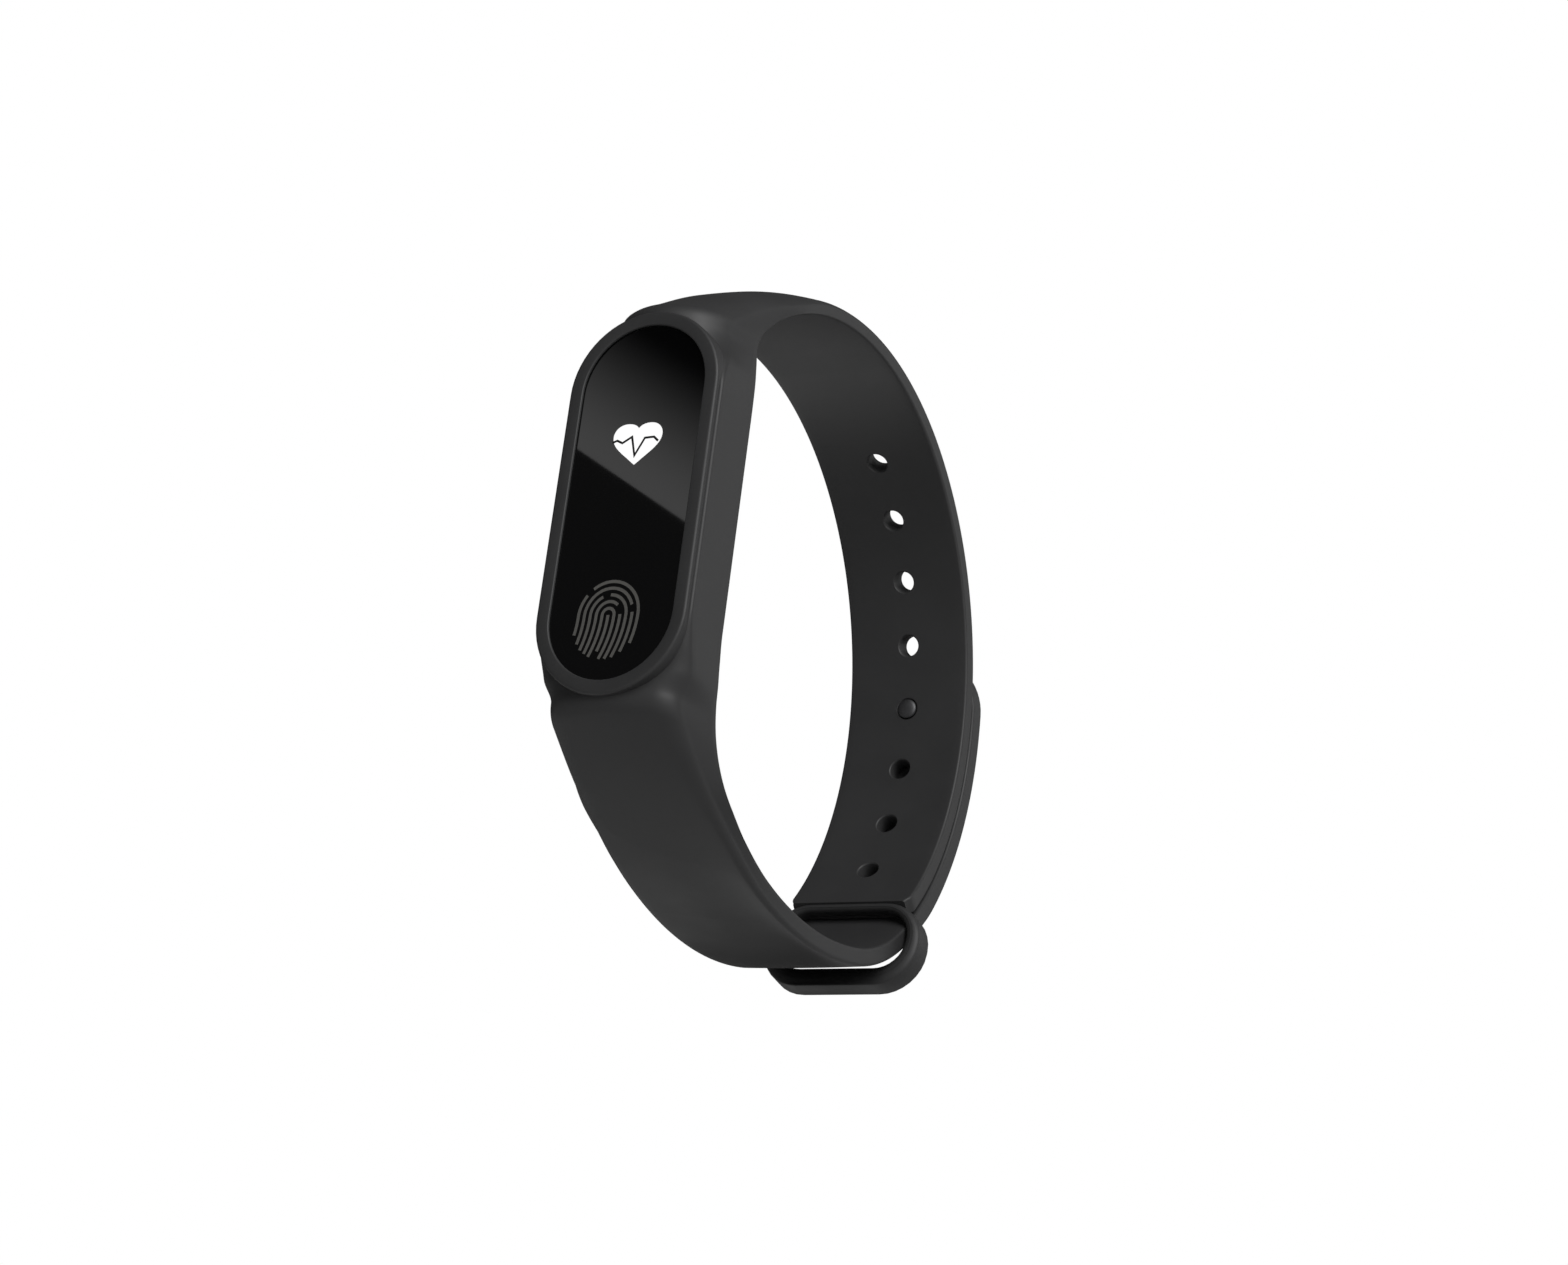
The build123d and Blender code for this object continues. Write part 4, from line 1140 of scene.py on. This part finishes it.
@dataclass
class Tail:
    """The plain end of the strap, from inside the ring to its round tip, with the stud's seat."""

    band: Wristband
    section: Section = Section(7.5 * MM, 7.5 * MM, 0.15 * MM, 0.5 * MM, 0.3 * MM, 0.4 * MM)
    full_from: float = 0.18
    tip_steps: int = 16
    tip_turn: float = math.radians(88)
    tip_edge: float = 0.6 * MM
    seat_r: float = 3.25 * MM
    seat_depth: float = 0.7 * MM
    bore_r: float = 1.0 * MM
    bend_from: float = -1.5 * MM
    bend_to: float = 12.0 * MM

    def rings(self) -> list[list[Vector]]:
        """Rings of points along the tail."""
        turns = [self.band.plain_parts(offset, Vector((0, 0)))[1] for offset in (0.0, LOOP.thickness)]
        start = turns[0].end
        stop = STUD_ANGLE + math.tau
        skin = [part_of(turns[0], self.band.seam, 1), Arc(LOOP.centre, LOOP.tail_inner_r, start, stop)]
        outer = [part_of(turns[1], self.band.seam, 1), Arc(LOOP.centre, LOOP.tail_outer_r, start, stop)]
        strap = self.section
        knots = [
            Knot((0, 0.0), (0, 0.0), self.band.strap, 4),
            Knot((1, 0.0), (1, 0.0), self.band.strap, 10),
            Knot((1, self.full_from), (1, self.full_from), strap, 54),
            Knot((1, 1.0), (1, 1.0), strap, 1),
        ]
        rings = strap_rings(outer, skin, knots)[:-1]
        for i in range(self.tip_steps + 1):
            turn = self.tip_turn * i / self.tip_steps
            along = strap.front_half * math.sin(turn)
            half = strap.front_half * math.cos(turn)
            past = max(0.0, along - strap.front_half + self.tip_edge) / self.tip_edge
            fall = self.tip_edge * (1 - math.sqrt(max(0.0, 1 - past * past)))
            angle = STUD_ANGLE + along / LOOP.tail_outer_r
            low = LOOP.at(LOOP.tail_inner_r + 0.5 * fall, angle)
            high = LOOP.at(LOOP.tail_outer_r - fall, angle)
            crown = strap.crown * (half / strap.front_half) ** 2
            section = Section(half, half, crown, strap.edge, strap.skin_edge, strap.lift)
            rings.append(section.ring(low, high))
        return rings

    def build(self) -> bpy.types.Object:
        """Builds the tail and cuts the stud's seat and bore."""
        tail = finished(loft(self.rings()), "strap_tail_moulding")
        floor = LOOP.tail_outer_r - self.seat_depth
        for low, high, radius, segments in (
            (floor, floor + 2 * MM, self.seat_r, 48),
            (LOOP.inner_r, floor + MM, self.bore_r, 32),
        ):
            rings = [radial_ring(STUD_ANGLE, distance, radius, segments) for distance in (low, high)]
            carve(tail, finished(loft(rings), "stud_tool"))
        return tail

    def bend(self, tail: bpy.types.Object) -> None:
        """Bakes the tail's transform into its mesh, leaving its shape as built."""
        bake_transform(tail)


@dataclass
class Stud:
    """The metal stud in the tail: a cap on its outside and a domed head pressed through a hole."""

    cap_r: float = 3.2 * MM
    cap_thickness: float = 0.66 * MM
    cap_edge: float = 0.2 * MM
    cap_rise: float = 0.35 * MM
    neck_r: float = 0.75 * MM
    head_r: float = 1.14 * MM
    head_thickness: float = 0.75 * MM
    head_edge: float = 0.1 * MM
    proud: float = 0.4 * MM
    dome: float = 0.35 * MM
    dome_steps: int = 8
    dish_r: float = 1.984 * MM
    dish_slope: float = 0.16 * MM
    dish_depth: float = 0.1 * MM

    def build(self) -> bpy.types.Object:
        """Builds the stud as one turned piece, from its head to its cap."""
        top = LOOP.inner_r - self.proud
        out = LOOP.tail_outer_r + self.cap_rise
        steps = [(top, TINY)]
        for i in range(1, self.dome_steps + 1):
            turn = math.radians(90 * i / self.dome_steps)
            steps.append((top + self.dome * (1 - math.cos(turn)), self.head_r * math.sin(turn)))
        steps += [
            (top + self.head_thickness - self.head_edge, self.head_r),
            (top + self.head_thickness, self.head_r - self.head_edge),
            (top + self.head_thickness + self.head_edge, self.neck_r),
            (out - self.cap_thickness, self.neck_r),
            (out - self.cap_thickness, self.cap_r),
        ]
        steps += rounded_edge(out, self.cap_r, self.cap_edge)
        floor = out - self.dish_depth
        steps += [(out - TINY, self.dish_r), (floor, self.dish_r - self.dish_slope), (floor, TINY)]
        return finished(loft([radial_ring(STUD_ANGLE, d, r, 56) for d, r in steps]), "stud", 35)


# ---------------------------------------------------------------- capsule
@dataclass
class Capsule:
    """The lift-out tracker: its glossy lens and its hollow case with the sensor bump."""

    lens_inset: float = 0.4 * MM
    lens_thickness: float = 1.2 * MM
    lens_bevel: float = 0.12 * MM
    lens_sharp: float = 10.0
    lens_gap: float = 0.03 * MM
    rim_depth: float = 0.15 * MM
    rim_edge: float = 0.08 * MM
    case_back: float = 8.15 * MM
    case_edge: float = 0.7 * MM
    wall: float = 0.9 * MM
    floor: float = 0.8 * MM
    glue: float = 0.15 * MM
    bump_half: float = 5.3 * MM
    bump_back: float = 10.4 * MM
    bump_edge: float = 0.6 * MM
    bump_wall: float = 1.1 * MM
    window_half: float = 3.03 * MM
    window_straight: float = 6.0 * MM
    contact_r: float = 1.03 * MM
    contact_spacing: float = 5.2 * MM
    contact_up: float = 3.1 * MM

    def slab(
        self, steps: list[tuple[float, float]], straight: float, name: str, sharp_deg: float = 40.0
    ) -> bpy.types.Object:
        """A stadium-shaped solid from its half widths at a row of depths."""
        rings = [stadium_ring(half, straight, depth, 32) for depth, half in steps]
        return finished(loft(rings), name, sharp_deg)

    def lens(self) -> bpy.types.Object:
        """Builds the lens plate with a fine bevel round its front."""
        half = CASE_HALF - self.lens_inset
        steps = [(self.lens_thickness, half), *rounded_edge(0, half, self.lens_bevel, -1, 4)]
        return self.slab(steps, CASE_STRAIGHT, "lens_plate", self.lens_sharp)

    def case(self) -> bpy.types.Object:
        """Builds the case's shell."""
        steps = [
            (self.rim_depth, CASE_HALF - self.rim_edge),
            (self.rim_depth + self.rim_edge, CASE_HALF),
            *rounded_edge(self.case_back, CASE_HALF, self.case_edge),
        ]
        case = self.slab(steps, CASE_STRAIGHT, "case_shell")
        steps = [
            (self.case_back - MM, self.bump_half),
            *rounded_edge(self.bump_back, self.bump_half, self.bump_edge),
        ]
        carve(case, self.slab(steps, BUMP_STRAIGHT, "bump_tool"), "UNION")
        inner = CASE_HALF - self.wall
        cavity_back = self.case_back - self.floor
        seat = CASE_HALF - self.lens_inset + self.lens_gap
        hollow = [
            (-MM, seat),
            (self.lens_thickness + self.glue, seat),
            (self.lens_thickness + self.glue, inner),
            (cavity_back, inner),
        ]
        carve(case, self.slab(hollow, CASE_STRAIGHT, "hollow_tool"))
        inner = self.bump_half - self.bump_wall
        deep = [(cavity_back - MM, inner), (self.bump_back - self.bump_wall, inner)]
        carve(case, self.slab(deep, BUMP_STRAIGHT, "hollow_tool"))
        through = [(cavity_back, self.window_half), (self.bump_back + MM, self.window_half)]
        carve(case, self.slab(through, self.window_straight, "window_tool"))
        for side in (-1, 1):
            carve(case, self.contact_bore(side))
        return case

    def contact_bore(self, side: int) -> bpy.types.Object:
        """The bore for one charging contact."""
        bm = bmesh.new()
        place = Matrix.Translation((
            side * self.contact_spacing / 2,
            LENS_Y + self.case_back,
            CASE_LOW.z + self.contact_up,
        )) @ Matrix.Rotation(math.pi / 2, 4, "X")
        bmesh.ops.create_cone(
            bm, cap_ends=True, segments=32, radius1=self.contact_r, radius2=self.contact_r,
            depth=4 * self.floor, matrix=place,
        )
        return finished(bm, "contact_tool")


class Layer(Enum):
    """How far the marks' faces stand in front of the lens."""

    LIGHT = 0.014 * MM
    PULSE = 0.022 * MM
    KEY = 0.014 * MM


@dataclass
class Marks:
    """What the lens shows: a heart with a pulse line, and a ridged mark over the touch key."""

    heart_at: Vector = field(default_factory=lambda: Vector((0.08, 6.32)) * MM)
    heart_half: float = 2.9 * MM
    lobe_at: float = 1.35 * MM
    lobe_top: float = 2.33 * MM
    notch: float = 1.78 * MM
    widest: float = 0.93 * MM
    tip: float = -2.36 * MM
    pulse_width: float = 0.25 * MM
    key_at: Vector = field(default_factory=lambda: Vector((-0.5, -13.0)) * MM)
    key_half: Vector = field(default_factory=lambda: Vector((4.0, 4.6)) * MM)
    ridge: float = 0.34 * MM
    pitch: float = 0.7 * MM
    gaps: tuple[float, ...] = (0.32, 0.61, 0.47, 0.7, 0.38, 0.55, 0.66, 0.4)
    gap: float = 0.108
    leg: float = 5.6 * MM
    sweep: float = 0.05 / MM
    ridge_steps: int = 96
    core: Vector = field(default_factory=lambda: Vector((0.1, 0.3)) * MM)

    def place(self, at: Vector, point: Vector, front: float) -> Vector:
        """A point of a mark, in space."""
        return Vector((at.x + point.x, LENS_Y - front, LENS_Z + at.y + point.y))

    def heart(self) -> bpy.types.Object:
        """Builds the heart as a thin plate."""
        right = [
            *curve(
                (0, self.notch),
                (0.3 * MM, 2.2 * MM),
                (0.8 * MM, self.lobe_top),
                (self.lobe_at, self.lobe_top),
            ),
            *curve(
                (self.lobe_at, self.lobe_top),
                (2.25 * MM, self.lobe_top),
                (self.heart_half, 1.75 * MM),
                (self.heart_half, self.widest),
            ),
            *curve(
                (self.heart_half, self.widest),
                (self.heart_half, -0.35 * MM),
                (1.3 * MM, -1.15 * MM),
                (0.14 * MM, self.tip + 0.08 * MM),
            ),
        ]
        outline = right + [Vector((0, self.tip))] + [Vector((-p.x, p.y)) for p in reversed(right[1:])]
        rings = [
            [self.place(self.heart_at, p, front) for p in outline]
            for front in (-0.1 * MM, Layer.LIGHT.value)
        ]
        return finished(loft(rings), "heart_light", 30)

    def pulse(self) -> bpy.types.Object:
        """Builds the zigzag line across the heart."""
        entry = [(-2.95, 0.35), (-2.4, 0.55), (-1.75, 0.22)]
        beat = [(-0.68, 0.85), (-0.1, -1.3), (0.88, 0.62)]
        away = [(1.95, 0.65), (2.5, 0.15)]
        points = [self.place(self.heart_at, Vector(p) * MM, 0.0) for p in entry + beat + away]
        return finished(ribbon(points, self.pulse_width, Layer.PULSE.value), "heart_pulse", 30)

    def ridge_lines(self) -> list[list[Vector]]:
        """The lines of the ridges: nested arches whose legs sweep down to one side, with a few gaps.

        Returns:
            One list of points for each unbroken line, cut off at the mark's oval outline.
        """
        lines = []
        for i, gap_at in enumerate(self.gaps):
            half_gap = self.gap / (i + 3)
            line: list[Vector] = []
            for k in range(self.ridge_steps + 1):
                share = k / self.ridge_steps
                point = self.arch(self.pitch * (i + 1), share)
                inside = (point.x / self.key_half.x) ** 2 + (point.y / self.key_half.y) ** 2 < 1
                broken = i > 0 and abs(share - gap_at) < half_gap
                if inside and not broken:
                    line.append(point)
                else:
                    lines.append(line)
                    line = []
            lines.append(line)
        lines.append([self.arch(0.0, 0.5 + 0.5 * k / 30) for k in range(22)])
        return [line for line in lines if len(line) > 3]

    def arch(self, radius: float, share: float) -> Vector:
        """A point at a share of the way along an arch: up one leg, over the top and down the other."""
        over = math.pi * radius * 1.06
        along = share * (2 * self.leg + over)
        if along < self.leg:
            down, side = self.leg - along, -1.0
        elif along > self.leg + over:
            down, side = along - self.leg - over, 1.0
        else:
            angle = math.pi * (1 - (along - self.leg) / over) if over else math.pi / 2
            return self.core + Vector((radius * math.cos(angle), radius * 1.05 * math.sin(angle)))
        return self.core + Vector((side * radius - self.sweep * down * down, -down))

    def key(self) -> bpy.types.Object:
        """Builds the touch key's ridges."""
        ridges = []
        for line in self.ridge_lines():
            points = [self.place(self.key_at, p, 0.0) for p in line]
            ridges.append(ribbon(points, self.ridge, Layer.KEY.value))
        return finished(gathered(ridges), "touch_mark", 30)


def curve(
    start: tuple[float, float], pull: tuple[float, float], push: tuple[float, float], end: tuple[float, float]
) -> list[Vector]:
    """Points on a cubic curve, without its last one."""
    a, b, c, d = map(Vector, (start, pull, push, end))
    points = []
    for i in range(14):
        t = i / 14
        points.append(a * (1 - t) ** 3 + b * 3 * t * (1 - t) ** 2 + c * 3 * t * t * (1 - t) + d * t**3)
    return points


def ribbon(points: list[Vector], width: float, front: float) -> bmesh.types.BMesh:
    """A thin flat strip along a line that lies on the lens.

    Args:
        points: The strip's middle line, on the lens's surface.
        width: Its width.
        front: How far its face stands in front of the lens.

    Returns:
        A closed mesh.
    """
    rings = []
    ahead = Vector((0, -1, 0))
    for i, point in enumerate(points):
        before = (point - points[i - 1]).normalized() if i else Vector()
        after = (points[i + 1] - point).normalized() if i + 1 < len(points) else Vector()
        way = (before + after).normalized()
        reach = width / 2 / max(0.4, way.dot(after if after.length else before))
        side = way.cross(ahead) * reach
        rings.append([
            point + side + ahead * front,
            point - side + ahead * front,
            point - side - ahead * 0.1 * MM,
            point + side - ahead * 0.1 * MM,
        ])
    return loft(rings)


def gathered(meshes: list[bmesh.types.BMesh]) -> bmesh.types.BMesh:
    """Several meshes as one, the others freed."""
    whole = meshes[0]
    for bm in meshes[1:]:
        part = bpy.data.meshes.new("part")
        bm.to_mesh(part)
        bm.free()
        whole.from_mesh(part)
        bpy.data.meshes.remove(part)
    return whole


# ---------------------------------------------------------------- studio
@dataclass
class Studio:
    """A pale floor, soft lights and the camera."""

    camera_at: Vector = field(default_factory=lambda: Vector((0.1955, -0.3525, -0.1109)))
    back: Vector = field(default_factory=lambda: Vector((0.4888, -0.7908, -0.3685)))
    roll: float = math.radians(8.2391)
    focal: float = 89.11
    shift: tuple[float, float] = (0.0995, -0.0844)
    ambient: float = 0.08
    floor_half: float = 1.5
    floor_gap: float = 0.3 * MM
    card_y: float = -0.2734
    card_low: Vector = field(default_factory=lambda: Vector((-0.1589, 0.1581)))
    card_high: Vector = field(default_factory=lambda: Vector((-0.1340, 0.1418)))
    card_size: tuple[float, float] = (0.24, 0.16)
    card_fade: float = 0.026
    card_glow: tuple[float, float] = (1.15, 0.02)

    def camera(self) -> bpy.types.Object:
        """Makes the camera."""
        back = self.back.normalized()
        level = Vector((0, 0, 1)).cross(back).normalized()
        rise = back.cross(level)
        side = math.cos(self.roll) * level + math.sin(self.roll) * rise
        up = math.cos(self.roll) * rise - math.sin(self.roll) * level
        data = bpy.data.cameras.new("camera")
        data.lens = self.focal
        data.sensor_width = 36.0
        data.shift_x, data.shift_y = self.shift
        data.clip_start, data.clip_end = 0.01, 20.0
        camera = bpy.data.objects.new("camera", data)
        turn = Matrix((side, up, back)).transposed().to_4x4()
        camera.matrix_world = Matrix.Translation(self.camera_at) @ turn
        bpy.context.scene.collection.objects.link(camera)
        bpy.context.scene.camera = camera
        return camera

    def world(self) -> None:
        """A white surrounding for the camera, and a dimmer one for the light it gives."""
        world = bpy.data.worlds.new("studio")
        bpy.context.scene.world = world
        world.use_nodes = True
        tree = world.node_tree
        tree.nodes.clear()
        seen = tree.nodes.new("ShaderNodeBackground")
        seen.inputs["Color"].default_value = (1, 1, 1, 1)
        seen.inputs["Strength"].default_value = 1.0
        given = tree.nodes.new("ShaderNodeBackground")
        given.inputs["Color"].default_value = (1, 1, 1, 1)
        given.inputs["Strength"].default_value = self.ambient
        path = tree.nodes.new("ShaderNodeLightPath")
        mix = tree.nodes.new("ShaderNodeMixShader")
        out = tree.nodes.new("ShaderNodeOutputWorld")
        tree.links.new(path.outputs["Is Camera Ray"], mix.inputs["Fac"])
        tree.links.new(given.outputs["Background"], mix.inputs[1])
        tree.links.new(seen.outputs["Background"], mix.inputs[2])
        tree.links.new(mix.outputs["Shader"], out.inputs["Surface"])

    def floor(self) -> bpy.types.Object:
        """The pale floor, which only shows from above and lets light through from below."""
        bm = bmesh.new()
        bmesh.ops.create_grid(bm, x_segments=1, y_segments=1, size=self.floor_half)
        bmesh.ops.translate(bm, verts=bm.verts, vec=(0, 0, CAD_BOX[0].z - self.floor_gap))
        floor = finished(bm, "floor")
        graph = Graph("pale_floor")
        graph.set(Roughness=0.9)
        pale = graph.colours(graph.noise(0.08), (0.7, 0.7, 0.7), (0.76, 0.76, 0.76))
        graph.link(pale, graph.shader.inputs["Base Color"])
        clear = graph.add("ShaderNodeBsdfTransparent")
        side = graph.add("ShaderNodeNewGeometry")
        path = graph.add("ShaderNodeLightPath")
        open_to = graph.add("ShaderNodeMath", operation="MAXIMUM")
        graph.link(side.outputs["Backfacing"], open_to.inputs[0])
        graph.link(path.outputs["Is Shadow Ray"], open_to.inputs[1])
        mix = graph.add("ShaderNodeMixShader")
        graph.link(open_to.outputs["Value"], mix.inputs["Fac"])
        graph.link(graph.shader.outputs["BSDF"], mix.inputs[1])
        graph.link(clear.outputs["BSDF"], mix.inputs[2])
        graph.link(mix.outputs["Shader"], graph.tree.nodes["Material Output"].inputs["Surface"])
        floor.data.materials.append(graph.material)
        return floor

    def softbox(self, name: str, at: tuple[float, float, float], size: float, power: float) -> None:
        """A soft square light that faces the band and that the camera doesn't see."""
        light = bpy.data.lights.new(name, "AREA")
        light.shape = "SQUARE"
        light.size = size
        light.energy = power
        lamp = bpy.data.objects.new(name, light)
        aim = Vector((0, 0, 0.036))
        lamp.location = Vector(at)
        lamp.rotation_mode = "QUATERNION"
        lamp.rotation_quaternion = (aim - Vector(at)).to_track_quat("-Z", "Y")
        lamp.visible_camera = False
        bpy.context.scene.collection.objects.link(lamp)

    def card(self) -> bpy.types.Object:
        """The graded card that the lens mirrors as one pale field with a slanting edge."""
        bm = bmesh.new()
        bmesh.ops.create_grid(bm, x_segments=1, y_segments=1, size=0.5)
        low, high = self.card_low, self.card_high
        edge = (high - low).normalized()
        rise = Vector((-edge.y, edge.x))
        width, height = self.card_size
        middle = (low + high) / 2 + rise * height / 2
        for vert in bm.verts:
            place = middle + edge * vert.co.x * width + rise * vert.co.y * height
            vert.co = (place.x, self.card_y, place.y)
        card = finished(bm, "graded_card")
        graph = Graph("graded_card")
        turn = graph.add("ShaderNodeMapping", vector_type="TEXTURE")
        turn.inputs["Location"].default_value = (low.x, self.card_y, low.y)
        turn.inputs["Rotation"].default_value = (0, -math.atan2(edge.y, edge.x), 0)
        graph.link(graph.place, turn.inputs["Vector"])
        split = graph.add("ShaderNodeSeparateXYZ")
        graph.link(turn.outputs["Vector"], split.inputs["Vector"])
        fade = graph.add("ShaderNodeMapRange", interpolation_type="SMOOTHSTEP")
        fade.inputs["From Min"].default_value = 0.0
        fade.inputs["From Max"].default_value = self.card_fade
        fade.inputs["To Min"].default_value, fade.inputs["To Max"].default_value = self.card_glow
        graph.link(split.outputs["Z"], fade.inputs["Value"])
        glow = graph.add("ShaderNodeEmission")
        graph.link(fade.outputs["Result"], glow.inputs["Strength"])
        graph.link(glow.outputs["Emission"], graph.tree.nodes["Material Output"].inputs["Surface"])
        card.data.materials.append(graph.material)
        card.visible_camera = False
        card.visible_diffuse = False
        card.visible_shadow = False
        return card

    def build(self) -> None:
        """Sets up the whole studio."""
        bpy.context.scene.view_settings.view_transform = "Standard"
        self.world()
        self.floor()
        self.card()
        self.softbox("key", (0.62, -0.50, 0.48), 0.6, 10.0)
        self.softbox("rim", (0.55, 0.75, 0.40), 0.7, 1.2)
        self.softbox("under", (-0.45, 0.45, -0.45), 0.35, 0.8)
        self.camera()


# ---------------------------------------------------------------- the whole
def settle(obj: bpy.types.Object, body: str, slot: str, *nodes: str) -> None:
    """Ties a piece to its body and to the CAD nodes that it stands for."""
    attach(obj, body)
    if nodes:
        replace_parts(obj, *nodes)
    LOG.info("%s: %d faces on %s", obj.name, len(obj.data.polygons), body)


def main() -> None:
    """Builds every piece in order, then the studio."""
    logging.basicConfig(level=logging.INFO, format="%(name)s %(message)s")
    paint = Paintbox()

    band_maker = Wristband()
    band = band_maker.build()
    paint.dress(band, SILICONE)
    settle(band, "band", "silicone", "wristband")

    lip = Lip().build()
    paint.dress(lip, SILICONE)
    settle(lip, "band", "silicone", "housing_lip")

    tail_maker = Tail(band_maker)
    tail = tail_maker.build()
    paint.dress(tail, SILICONE)
    tail_maker.bend(tail)
    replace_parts(tail, "strap_tail")
    LOG.info("%s: %d faces from band to tail", tail.name, len(tail.data.polygons))

    stud = Stud().build()
    paint.dress(stud, SLOT_FINISHES["stud"])
    settle(stud, "tail", "stud", "stud_cap", "stud_pin")

    capsule = Capsule()
    for piece, finish, slot, node in (
        (capsule.lens(), LENS_GLOSS, "lens", "front_lens"),
        (capsule.case(), CASE_PLASTIC, "case", "capsule_case"),
    ):
        paint.dress(piece, finish)
        settle(piece, "capsule", slot, node)

    marks = Marks()
    for piece, finish in (
        (marks.heart(), HEART_LIGHT),
        (marks.pulse(), SLOT_FINISHES["mask"]),
        (marks.key(), INK),
    ):
        paint.dress(piece, finish)
        settle(piece, "capsule", "lens")

    replaced = {n for o in bpy.data.objects for n in o.get("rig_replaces", [])}
    for node in frame["nodes"]:
        if node not in replaced:
            paint.dress_node(node)
            LOG.info("%s: CAD node kept", node)

    Studio().build()


if __name__ == "__main__":
    main()
